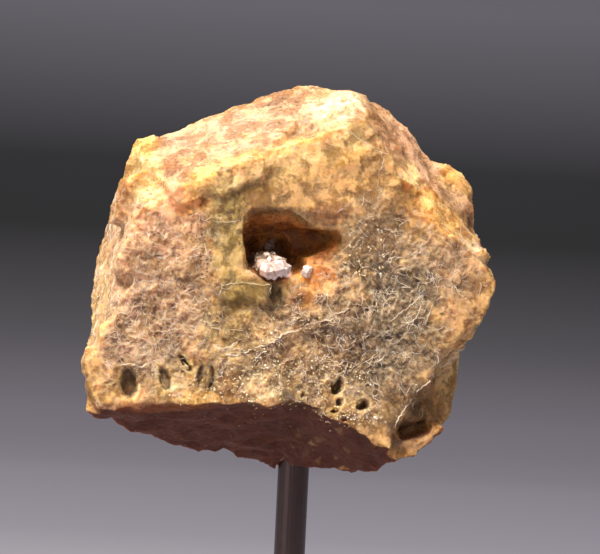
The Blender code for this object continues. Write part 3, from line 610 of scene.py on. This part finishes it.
class GARNET_OT_stone(bpy.types.Operator):
    """Build the visible stone over the solid one"""

    bl_idname = "garnet.stone"
    bl_label = "Stone"

    def execute(self, context):
        settings = context.scene.garnet_stone
        stone = welded_copy("stone", "garnet_crystal")
        self.refine(stone.data, settings)
        self.shape_and_colour(stone.data, settings)
        stone.data.shade_smooth()
        finish_piece(stone, garnet_material(settings), "garnet_crystal", "garnet_stone")
        return {"FINISHED"}

    def refine(self, mesh, settings):
        """Halve long edges until the faces seen from the front are fine and the others fairly fine."""
        bm = bmesh.new()
        bm.from_mesh(mesh)
        toward = TO_WORLD @ Vector((0.1, -1.0, 0.0))
        for _ in range(HALVINGS):
            long = []
            for edge in bm.edges:
                facing = max(face.normal.dot(toward) for face in edge.link_faces)
                if edge.calc_length() > (settings.fine if facing > 0.2 else settings.coarse):
                    long.append(edge)
            bmesh.ops.subdivide_edges(bm, edges=long, cuts=1)
            bmesh.ops.triangulate(bm, faces=[face for face in bm.faces if len(face.verts) > 3])
            bm.normal_update()
        bm.to_mesh(mesh)
        bm.free()

    def shape_and_colour(self, mesh, settings):
        """Move the surface into ledges, ridges and grain, and colour it by place."""
        turn = np.array(TO_WORLD)
        centre = np.array(STONE_CENTRE)
        local = (read_vectors(mesh, "co") / MM - centre) @ turn
        normals = read_vectors(mesh, "normal") @ turn
        shrink = VIEW_DISTANCE / (VIEW_DISTANCE + local[:, 1])
        x, z = local[:, 0] * shrink, local[:, 2] * shrink
        rise = local @ np.array(FRONT_NORMAL) - FRONT_DISTANCE
        noises = {name: field(local.tolist(), *values) for name, values in FIELDS.items()}
        lines = sum(ridges(local.tolist(), scale, shift) * weight for scale, shift, weight in FELT_RIDGES)

        # Where the front, the underside, the hollow and the matted parts are
        warp = noises["veins"] * 0.28 + noises["clouds"] * 0.18
        front = smooth(0.02, 0.3, -normals[:, 1]) * smooth(5.0, 1.0, local[:, 1])
        below = smooth(0.35, 0.6, -normals[:, 2]) * smooth(-7.5, -9.5, local[:, 2])
        deep = smooth(-0.35, -1.3, rise) * soft_ellipse(x, z, *HOLLOW, warp * 0.3, 0.3)
        elsewhere = (1.0 - front) * (1.0 - below) * 0.35 * smooth(-0.2, 0.5, noises["clouds"])
        matted = np.clip(amount(x, z, MATTED, warp) * front * (1.0 - below) + elsewhere, 0.0, 1.0)

        height = self.relief(settings, local, x, z, noises, lines, warp, front, matted) * (1.0 - 0.5 * deep)
        sunk, rims, shift = self.pits(local, x, z, rise, noises["veins"])
        height += PIT_RIM_HEIGHT * rims
        places = local + normals * (height - SETTLE)[:, None] + np.outer(shift, FRONT_NORMAL)
        put_places(mesh, (places @ turn.T + centre) * MM)

        colours = self.base_colours(local, normals, noises, below)
        for name, *ellipse, strength in PATCHES:
            paint(colours, name, soft_ellipse(x, z, *ellipse, warp, 0.35) * front * strength)
        paint(colours, "felt", np.clip(lines, 0.0, 1.0) * (0.12 + 0.4 * matted) * (1.0 - below) * 0.5)
        amber = smooth(-0.3, 0.6, noises["veins"])[:, None] * np.array(linear(PALETTE["amber"])) * 0.5
        # Painted shade in the hollow: its colour is darker deep inside and lighter towards the mouth
        painted_light_near_mouth = smooth(-2.6, -0.8, rise)[:, None]
        paint(colours, np.array(linear(PALETTE["cavity"])) * (0.7 + 0.5 * painted_light_near_mouth) + amber, deep * 0.93)
        paint(colours, "cream", rims * 0.55)
        # Painted shade inside the pits: their floors are coloured a darker brown
        paint(colours, "pit", sunk * 0.9)
        # Painted shade: the front is darkened where the surface lies lower, in its small hollows and creases
        colours *= (1.0 - 0.3 * smooth(0.05, -0.12, height) * front)[:, None]
        write_colours(mesh, "tint", np.clip(colours, 0.0, 1.0))

        stained = np.zeros_like(x)
        for ellipse in STAINS:
            stained = np.maximum(stained, soft_ellipse(x, z, *ellipse, 0.0, warp, 0.5) * front)
        write_colours(mesh, "masks", np.stack([matted * (1.0 - deep), stained, below], axis=1))
        tufts = smooth(-0.25, 0.35, noises["tufts"])
        grains = amount(x, z, GRANULAR, warp) * front
        for name, values in (("fibre_amount", matted * tufts), ("grain_amount", grains)):
            layer = mesh.attributes.new(name, "FLOAT", "POINT")
            layer.data.foreach_set("value", (values * (1.0 - deep) * (1.0 - sunk)).astype(np.float32))

    def relief(self, settings, local, x, z, noises, lines, warp, front, matted):
        """Height of waves, ledges, ridges, grain and the column's upright streaks, in millimetres."""
        ledges = noises["ledges"] * LEDGES_PER_NOISE
        step = np.floor(ledges)
        terrace = step + smooth(0.3, 0.7, ledges - step) - ledges
        calm = 1.0 - 0.75 * soft_ellipse(x, z, *PLATE, warp, 0.4) * front
        height = settings.wave * noises["waves"] + settings.step * terrace * (0.45 + 0.55 * matted)
        height += settings.felt * lines * (0.25 + matted) * calm + settings.grain * noises["fine"] * calm
        height += settings.crumple * noises["crumple"] * (0.35 + 0.65 * matted) * calm
        streak = np.array([noise.noise(Vector((p[0] * 2.6, p[1] * 0.6, p[2] * 0.45)))
                           for p in local.tolist()])
        column = soft_ellipse(x, z, *COLUMN, warp * 0.4, 0.3)
        upright = np.maximum(column, soft_ellipse(x, z, *STREAKED, warp, 0.4) * 0.6)
        return height + STREAK_HEIGHT * streak * upright * front

    def pits(self, local, x, z, rise, veins):
        """How far each place is in a pit and on a rim, and its way to the pit's level."""
        near = ((rise > -1.8) & (rise < 0.7) & (local[:, 1] < -5.0)).astype(float)
        sunk, rims, level, bottom = (np.zeros_like(x) for _ in range(4))
        for cx, cz, rx, rz, tilt, depth in PITS:
            inside = soft_ellipse(x, z, cx, cz, rx, rz, tilt, veins * 0.08, 0.25) * near
            around = soft_ellipse(x, z, cx, cz, rx + 0.24, rz + 0.24, tilt, veins * 0.12, 0.25) * near
            level = np.maximum(level, soft_ellipse(x, z, cx, cz, rx + 0.6, rz + 0.5, tilt, 0.0, 0.15) * near)
            sunk = np.maximum(sunk, inside)
            rims = np.maximum(rims, around - inside)
            bottom = np.maximum(bottom, inside * depth)
        return sunk, rims, level * (-bottom - rise)

    def base_colours(self, local, normals, noises, below):
        """Colours before the patches: honey in front, mauve and peach above, and below a dark red that is
        partly the broken face's own red-brown and partly painted shade.
        """
        colours = np.tile(np.array(linear(PALETTE["honey"])), (len(local), 1))
        clouds = noises["clouds"]
        paint(colours, "butter", smooth(0.0, 0.7, noises["veins"]) * 0.3)
        paint(colours, "blush", smooth(0.3, 0.7, normals[:, 2]) * smooth(-0.9, 0.4, clouds) * 0.85)
        paint(colours, "mauve", smooth(0.1, 0.8, -clouds) * 0.45)
        paint(colours, "ochre", smooth(3.0, 8.0, local[:, 1]) * smooth(-0.3, 0.5, noises["veins"]) * 0.4)
        # The underside facing down: its red-brown is darkened further as painted shade
        paint(colours, "dark_red_and_shade", below * 0.94)
        return colours


def scatter_tree(name):
    """Geometry Nodes tree with the inputs that both scatterings share; the tree, its maker and its input."""
    tree = bpy.data.node_groups.new(name, "GeometryNodeTree")
    tree.is_modifier = True
    face = tree.interface
    face.new_socket("Geometry", in_out="INPUT", socket_type="NodeSocketGeometry")
    for label, kind in (("Density", "NodeSocketFloat"), ("Size", "NodeSocketFloat"),
                        ("Thickness", "NodeSocketFloat"), ("Seed", "NodeSocketInt"),
                        ("Material", "NodeSocketMaterial")):
        face.new_socket(label, in_out="INPUT", socket_type=kind)
    face.new_socket("Geometry", in_out="OUTPUT", socket_type="NodeSocketGeometry")
    make = partial(node, tree)
    return tree, make, make("NodeGroupInput")


def scattered_points(make, source, amount_name):
    """Points on the surface where the named amount is high, turned by chance about the surface's normal."""
    share = make("GeometryNodeInputNamedAttribute", {"data_type": "FLOAT"}, {"Name": amount_name})
    density = make(MATH, {"operation": "MULTIPLY"}, {0: share.outputs["Attribute"],
        1: source.outputs["Density"]})
    points = make("GeometryNodeDistributePointsOnFaces", links={"Mesh": source.outputs["Geometry"],
        "Density": density.outputs[0], "Seed": source.outputs["Seed"]})
    spin = make(RANDOM, {"data_type": "FLOAT"}, {"Max": 2.0 * math.pi, "Seed": source.outputs["Seed"]})
    about = make("FunctionNodeAxisAngleToRotation", links={"Axis": (0.0, 0.0, 1.0), "Angle": spin.outputs[1]})
    turn = make("FunctionNodeRotateRotation", {"rotation_space": "LOCAL"},
                {"Rotation": points.outputs["Rotation"], "Rotate By": about.outputs[0]})
    return points, turn.outputs[0]


def fibre_tree():
    """Short strands that lie along the surface, bent by a noise and pulled back onto the stone."""
    tree, make, source = scatter_tree("Fibres")
    points, turn = scattered_points(make, source, "fibre_amount")
    line = make("GeometryNodeCurvePrimitiveLine", links={"Start": (-0.5, 0.0, 0.0), "End": (0.5, 0.0, 0.0)})
    steps = make("GeometryNodeResampleCurve", links={"Curve": line.outputs[0], "Count": 7})
    chance = make(RANDOM, {"data_type": "FLOAT"}, {"Min": 0.35, "Max": 1.7, "Seed": 3})
    size = make(MATH, {"operation": "MULTIPLY"}, {0: chance.outputs[1], 1: source.outputs["Size"]})
    placed = make("GeometryNodeInstanceOnPoints", links={"Points": points.outputs["Points"],
        "Instance": steps.outputs[0], "Rotation": turn, "Scale": size.outputs[0]})
    real = make("GeometryNodeRealizeInstances", links={"Geometry": placed.outputs[0]})
    where = make("GeometryNodeInputPosition")
    wobble = make(NOISE, links={"Vector": where.outputs[0], "Scale": 900.0, "Detail": 1.0})
    centred = make(VECTOR_MATH, {"operation": "SUBTRACT"}, {0: wobble.outputs["Color"], 1: (0.5, 0.5, 0.5)})
    push = make(VECTOR_MATH, {"operation": "SCALE"}, {0: centred.outputs[0], "Scale": 0.0009})
    bent = make("GeometryNodeSetPosition", links={"Geometry": real.outputs[0], "Offset": push.outputs[0]})
    near = make("GeometryNodeProximity", {"target_element": "FACES"},
                {"Geometry": source.outputs["Geometry"]})
    normal = make("GeometryNodeInputNormal")
    over = make("GeometryNodeSampleNearestSurface", {"data_type": "FLOAT_VECTOR"},
                {"Mesh": source.outputs["Geometry"], "Value": normal.outputs[0]})
    lift = make("ShaderNodeMapRange", links={"Value": wobble.outputs["Fac"], "From Min": 0.35,
        "From Max": 0.65, "To Min": -0.00002, "To Max": 0.00005})
    above = make(VECTOR_MATH, {"operation": "SCALE"}, {0: over.outputs[0], "Scale": lift.outputs[0]})
    lying = make("GeometryNodeSetPosition", links={"Geometry": bent.outputs[0],
        "Position": near.outputs["Position"], "Offset": above.outputs[0]})
    tint = make("GeometryNodeInputNamedAttribute", {"data_type": "FLOAT_COLOR"}, {"Name": "tint"})
    under = make("GeometryNodeSampleNearestSurface", {"data_type": "FLOAT_COLOR"},
                 {"Mesh": source.outputs["Geometry"], "Value": tint.outputs["Attribute"]})
    tinted = make("GeometryNodeStoreNamedAttribute", {"data_type": "FLOAT_COLOR", "domain": "POINT"},
                  {"Geometry": lying.outputs[0], "Name": "tint", "Value": under.outputs[0]})
    ring = make("GeometryNodeCurvePrimitiveCircle",
                links={"Resolution": 3, "Radius": source.outputs["Thickness"]})
    tube = make("GeometryNodeCurveToMesh", links={"Curve": tinted.outputs[0],
        "Profile Curve": ring.outputs[0], "Fill Caps": True})
    painted = make("GeometryNodeSetMaterial", links={"Geometry": tube.outputs[0],
        "Material": source.outputs["Material"]})
    make("NodeGroupOutput", links=(painted.outputs[0],))
    return tree


def grain_tree():
    """Tiny grains of a few facets, sunk a little into the surface."""
    tree, make, source = scatter_tree("Grains")
    points, turn = scattered_points(make, source, "grain_amount")
    shape = make("GeometryNodeMeshIcoSphere", links={"Radius": 0.5, "Subdivisions": 1})
    low = make(RANDOM, {"data_type": "FLOAT_VECTOR"}, {"Min": (0.5, 0.5, 0.4), "Max": (1.5, 1.2, 1.1),
        "Seed": 8})
    size = make(VECTOR_MATH, {"operation": "SCALE"}, {0: low.outputs[0], "Scale": source.outputs["Size"]})
    placed = make("GeometryNodeInstanceOnPoints", links={"Points": points.outputs["Points"],
        "Instance": shape.outputs[0], "Rotation": turn, "Scale": size.outputs[0]})
    real = make("GeometryNodeRealizeInstances", links={"Geometry": placed.outputs[0]})
    painted = make("GeometryNodeSetMaterial", links={"Geometry": real.outputs[0],
        "Material": source.outputs["Material"]})
    make("NodeGroupOutput", links=(painted.outputs[0],))
    return tree


def scatter(name, tree, values):
    """Run a scattering on the stone and keep the result as a plain mesh object."""
    stone = bpy.data.objects["garnet_stone"]
    obj = bpy.data.objects.new(name, stone.data.copy())
    obj.data.color_attributes.remove(obj.data.color_attributes["masks"])
    bpy.context.scene.collection.objects.link(obj)
    step = obj.modifiers.new(name, "NODES")
    step.node_group = tree
    sockets = {item.name: item.identifier for item in tree.interface.items_tree
               if item.item_type == "SOCKET" and item.in_out == "INPUT"}
    for label, value in values.items():
        step[sockets[label]] = value
    graph = bpy.context.evaluated_depsgraph_get()
    graph.update()
    mesh = bpy.data.meshes.new_from_object(obj.evaluated_get(graph), depsgraph=graph)
    obj.modifiers.clear()
    obj.data = mesh
    if not obj.data.vertices:
        raise RuntimeError(name + " came out empty")
    put_places(obj.data, read_vectors(obj.data, "co"))
    return obj


class GARNET_OT_fibres(bpy.types.Operator):
    """Lay fine fibres over the matted parts of the stone"""

    bl_idname = "garnet.fibres"
    bl_label = "Fibres"

    def execute(self, context):
        settings = context.scene.garnet_fibres
        made = fibre_material()
        obj = scatter("fibres", fibre_tree(), {
            "Density": settings.count * 1e6, "Size": settings.length, "Thickness": settings.radius,
            "Seed": settings.seed, "Material": made})
        finish_piece(obj, made, None, "stone_fibres")
        return {"FINISHED"}


class GARNET_OT_grains(bpy.types.Operator):
    """Strew small glinting grains over the granular parts"""

    bl_idname = "garnet.grains"
    bl_label = "Grains"

    def execute(self, context):
        settings = context.scene.garnet_fibres
        made = grain_material()
        obj = scatter("grains", grain_tree(), {
            "Density": settings.grains * 1e6, "Size": settings.grain_size, "Seed": settings.seed + 5,
            "Material": made})
        finish_piece(obj, made, None, "stone_grains")
        return {"FINISHED"}


class GARNET_OT_threads(bpy.types.Operator):
    """Lay the long raised threads that can be told apart on the front"""

    bl_idname = "garnet.threads"
    bl_label = "Threads"

    def execute(self, context):
        stone = bpy.data.objects["garnet_stone"]
        bm = bmesh.new()
        bm.from_mesh(stone.data)
        surface = BVHTree.FromBMesh(bm)
        bm.free()
        dice = random.Random(5)
        out = bmesh.new()
        out.verts.layers.float_color.new("tint")
        for line, radius in THREADS:
            self.thread(out, surface, stone, self.dense(line, dice), radius * MM)
        obj = object_from("threads", out)
        obj.data.shade_smooth()
        finish_piece(obj, bpy.data.materials["pale_mineral_fibre"], None, "stone_threads")
        return {"FINISHED"}

    def dense(self, line, dice):
        """Points every 0.15 mm along a line, a little astray."""
        points = []
        for (ax, az), (bx, bz) in zip(line, line[1:]):
            count = max(2, int(math.hypot(bx - ax, bz - az) / THREAD_STEP))
            for i in range(count):
                t = i / count
                x = ax + (bx - ax) * t + dice.uniform(-THREAD_STRAY, THREAD_STRAY)
                points.append((x, az + (bz - az) * t + dice.uniform(-THREAD_STRAY, THREAD_STRAY)))
        return points

    def thread(self, bm, surface, stone, points, radius):
        """Tube of five sides along points projected onto the stone from the front."""
        tints = stone.data.color_attributes["tint"].data
        layer = bm.verts.layers.float_color["tint"]
        centres = []
        for x, z in points:
            hit = seen_from_front(surface, x, z)
            if hit[0] is not None:
                corner = stone.data.polygons[hit[2]].vertices[0]
                centres.append((hit[0], hit[1], tints[corner].color))
        rings = []
        for i, (centre, normal, colour) in enumerate(centres):
            before = centres[max(0, i - 1)][0]
            after = centres[min(len(centres) - 1, i + 1)][0]
            if (after - before).length < 1e-7 or (after - before).length > 12.0 * radius + 0.0006:
                rings.append(None)
                continue
            along = (after - before).normalized()
            side = along.cross(normal).normalized()
            up = side.cross(along)
            taper = min(1.0, 0.35 + 0.25 * min(i, len(centres) - 1 - i))
            taper *= 0.75 + 0.5 * abs(noise.noise(centre * 1400.0))
            ring = []
            for step in range(THREAD_SIDES):
                a = 2.0 * math.pi * step / THREAD_SIDES
                vert = bm.verts.new(centre + (side * math.cos(a) + up * math.sin(a) * 0.8) * radius * taper)
                vert[layer] = colour
                ring.append(vert)
            rings.append(ring)
        run = []
        for ring in rings + [None]:
            if ring is not None:
                run.append(ring)
                continue
            if len(run) > 1:
                for first, second in zip(run, run[1:]):
                    for step in range(THREAD_SIDES):
                        other = (step + 1) % THREAD_SIDES
                        bm.faces.new((first[step], first[other], second[other], second[step]))
                bm.faces.new(run[0][::-1])
                bm.faces.new(run[-1])
            elif run:
                bmesh.ops.delete(bm, geom=run[0], context="VERTS")
            run = []


def dodecahedron(bm, milk, centre, size, dice, white, box=None):
    """Add one rhombic dodecahedron, turned and stretched by chance, with its whiteness."""
    corners = [Vector((a, b, c)) for a in (-1, 1) for b in (-1, 1) for c in (-1, 1)]
    corners += [Vector(p) for p in ((2, 0, 0), (-2, 0, 0), (0, 2, 0), (0, -2, 0), (0, 0, 2), (0, 0, -2))]
    turn = Euler((dice.uniform(0, 3), dice.uniform(0, 3), dice.uniform(0, 3))).to_matrix()
    stretch = Vector((dice.uniform(0.8, 1.25), dice.uniform(0.8, 1.25), dice.uniform(0.8, 1.25)))
    value = min(1.0, max(0.0, white + dice.uniform(-0.2, 0.2)))
    verts = []
    for corner in corners:
        place = centre + turn @ (corner * stretch) * (size * 0.5)
        if box:
            place = Vector([min(max(place[i], box[0][i]), box[1][i]) for i in range(3)])
        vert = bm.verts.new(place)
        vert[milk] = value
        verts.append(vert)
    bmesh.ops.convex_hull(bm, input=verts)


class GARNET_OT_hollow(bpy.types.Operator):
    """Grow the small pale crystals on the hollow's floor"""

    bl_idname = "garnet.hollow"
    bl_label = "Hollow crystals"

    def execute(self, context):
        settings = context.scene.garnet_hollow
        dice = random.Random(settings.seed)
        crust = welded_copy("hollow crust", "hollow_crystals")
        bm = bmesh.new()
        bm.from_mesh(crust.data)
        surface = BVHTree.FromBMesh(bm)
        low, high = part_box("hollow_crystals")
        milk = bm.verts.layers.float.new("milk")
        for vert in bm.verts:
            vert[milk] = CRUST_MILK
        made = 0
        tries = 0
        while made < settings.count and tries < settings.count * 30:
            tries += 1
            start = Vector((dice.uniform(low.x, high.x), dice.uniform(low.y, high.y), high.z + 0.001))
            hit = surface.ray_cast(start, Vector((0.0, 0.0, -1.0)))
            if hit[0] is None:
                continue
            back = (hit[0].y - low.y) / (high.y - low.y)
            size = dice.uniform(0.12, 0.36) * MM * (1.25 - 0.4 * back)
            # Crystals further back in the hollow are less white: partly their own grey, partly painted shade
            # deeper in the hollow
            dodecahedron(bm, milk, hit[0], size, dice, 0.95 - 1.1 * back, (low, high))
            made += 1
        if made < settings.count:
            raise RuntimeError("the hollow's floor took too few crystals")
        bm.to_mesh(crust.data)
        bm.free()
        finish_piece(crust, small_crystal_material(), "hollow_crystals", "hollow_crust")
        return {"FINISHED"}


class GARNET_OT_clumps(bpy.types.Operator):
    """Set clumps of small crystals at the hollow's mouth"""

    bl_idname = "garnet.clumps"
    bl_label = "Clumps of crystals"

    def execute(self, context):
        settings = context.scene.garnet_hollow
        dice = random.Random(settings.seed + 1)
        ground = bmesh.new()
        for name in ("garnet_stone", "hollow_crust"):
            ground.from_mesh(bpy.data.objects[name].data)
        surface = BVHTree.FromBMesh(ground)
        ground.free()
        bm = bmesh.new()
        milk = bm.verts.layers.float.new("milk")
        for x, z, wide, high, count, size, white in CLUMPS:
            for _ in range(count):
                across = x + dice.uniform(-wide, wide)
                hit = seen_from_front(surface, across, z + dice.uniform(-high, high))
                if hit[0] is not None:
                    dodecahedron(bm, milk, hit[0], dice.uniform(0.5, 1.15) * size * MM, dice, white)
        made = bpy.data.materials["pale_garnet_crystal_milky"]
        finish_piece(object_from("clumps", bm), made, None, "hollow_clumps")
        return {"FINISHED"}


class GARNET_OT_stand(bpy.types.Operator):
    """Finish the rod and the base in dark lacquer"""

    bl_idname = "garnet.stand"
    bl_label = "Stand"

    def execute(self, context):
        settings = context.scene.garnet_stand
        for name, colour, duller in (("support_rod", "#2E110D", 0.0), ("stand_base", "#2A1A17", 0.04)):
            made = stand_material(name + "_lacquered_brass", colour, settings.roughness + duller)
            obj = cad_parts[name]
            for slot in obj.material_slots:
                slot.material = made
        return {"FINISHED"}


class GARNET_OT_stage(bpy.types.Operator):
    """Set up the paper, the soft lights and the camera"""

    bl_idname = "garnet.stage"
    bl_label = "Stage"

    def execute(self, context):
        settings = context.scene.garnet_stage
        self.paper(settings)
        aim = Vector((0.0, 0.0, 0.054))
        self.soft_light(context, "key", settings.key, 0.26, (-0.13, -0.20, 0.50), aim, "#FFF6EA")
        self.soft_light(context, "fill", settings.fill, 0.4, (-0.42, -0.40, 0.10), aim, "#FFF2E4")
        self.soft_light(context, "wall", settings.wall, 0.6, (0.0, 0.30, 0.75), Vector((0.0, 0.62, 0.1)),
                        "#FFFFFF")
        world = bpy.data.worlds.new("studio")
        context.scene.world = world
        world.use_nodes = True
        sky = world.node_tree.nodes["Background"]
        sky.inputs["Color"].default_value = (*linear("#D6D8E0"), 1.0)
        sky.inputs["Strength"].default_value = 0.2
        self.camera(context)
        context.scene.view_settings.view_transform = "Standard"
        return {"FINISHED"}

    def paper(self, settings):
        """One sheet that runs from the floor up the wall in a wide curve."""
        profile = [(-0.8, 0.0), (-0.3, 0.0), (0.0, 0.0), (0.3, 0.0)]
        flat, bend, steps = 0.42, 0.35, 12
        for i in range(steps + 1):
            a = math.radians(90.0 * i / steps)
            profile.append((flat + bend * math.sin(a), bend - bend * math.cos(a)))
        profile += [(flat + bend, 0.7), (flat + bend, 1.4)]
        bm = bmesh.new()
        rows = []
        for y, z in profile:
            rows.append([bm.verts.new((x, y, z)) for x in (-1.6, 0.0, 1.6)])
        for low, high in zip(rows, rows[1:]):
            for i in range(2):
                bm.faces.new((low[i], low[i + 1], high[i + 1], high[i]))
        obj = object_from("studio_paper", bm)
        obj.data.shade_smooth()
        obj.data.materials.append(stage_material(settings))

    def soft_light(self, context, name, power, size, place, aim, colour):
        """Square soft light that points at a place."""
        light = bpy.data.lights.new(name, "AREA")
        light.energy = power
        light.size = size
        light.color = linear(colour)
        obj = bpy.data.objects.new(name, light)
        context.scene.collection.objects.link(obj)
        obj.location = place
        obj.rotation_euler = (aim - obj.location).to_track_quat("-Z", "Y").to_euler()

    def camera(self, context):
        """Level camera in front of the stone, leaning with it so that the rod stands aslant."""
        camera = bpy.data.cameras.new("camera")
        camera.sensor_width = SENSOR_WIDTH
        camera.lens = SENSOR_WIDTH * VIEW_DISTANCE / VIEW_WIDTH
        camera.clip_start = 0.001
        camera.clip_end = 20.0
        obj = bpy.data.objects.new("camera", camera)
        context.scene.collection.objects.link(obj)
        pixel = VIEW_WIDTH / IMAGE_WIDTH
        place = to_world((VIEW_SHIFT[0] * pixel, -VIEW_DISTANCE, VIEW_SHIFT[1] * pixel))
        level = Matrix.Rotation(math.radians(90.0), 4, "X")
        obj.matrix_world = Matrix.Translation(place) @ TO_WORLD.to_4x4() @ level
        context.scene.camera = obj


class GARNET_PT_panel(bpy.types.Panel):
    """Panel with the pieces and their settings"""

    bl_idname = "GARNET_PT_panel"
    bl_label = "Garnet"
    bl_space_type = "VIEW_3D"
    bl_region_type = "UI"
    bl_category = "Garnet"

    def draw(self, context):
        for title, group, operators in (
            ("Stone", "garnet_stone", ("garnet.stone",)),
            ("Fibres and grains", "garnet_fibres", ("garnet.fibres", "garnet.grains", "garnet.threads")),
            ("Hollow", "garnet_hollow", ("garnet.hollow", "garnet.clumps")),
            ("Stand", "garnet_stand", ("garnet.stand",)),
            ("Stage", "garnet_stage", ("garnet.stage",)),
        ):
            box = self.layout.box()
            box.label(text=title)
            settings = getattr(context.scene, group)
            for key in settings.__annotations__:
                box.prop(settings, key)
            for name in operators:
                box.operator(name)


GROUPS = (
    ("garnet_stone", StoneSettings), ("garnet_fibres", FibreSettings), ("garnet_hollow", HollowSettings),
    ("garnet_stand", StandSettings), ("garnet_stage", StageSettings),
)
OPERATORS = (
    GARNET_OT_stone, GARNET_OT_fibres, GARNET_OT_grains, GARNET_OT_threads, GARNET_OT_hollow,
    GARNET_OT_clumps, GARNET_OT_stand, GARNET_OT_stage,
)


def register():
    """Register the classes and the scene's settings."""
    for name, group in GROUPS:
        bpy.utils.register_class(group)
        setattr(bpy.types.Scene, name, PointerProperty(type=group))
    for operator in OPERATORS:
        bpy.utils.register_class(operator)
    bpy.utils.register_class(GARNET_PT_panel)


def unregister():
    """Undo register."""
    bpy.utils.unregister_class(GARNET_PT_panel)
    for operator in reversed(OPERATORS):
        bpy.utils.unregister_class(operator)
    for name, group in reversed(GROUPS):
        delattr(bpy.types.Scene, name)
        bpy.utils.unregister_class(group)


def main():
    """Build everything in order."""
    register()
    bpy.ops.garnet.stone()
    bpy.ops.garnet.fibres()
    bpy.ops.garnet.grains()
    bpy.ops.garnet.threads()
    bpy.ops.garnet.hollow()
    bpy.ops.garnet.clumps()
    bpy.ops.garnet.stand()
    bpy.ops.garnet.stage()


if __name__ == "__main__":
    main()
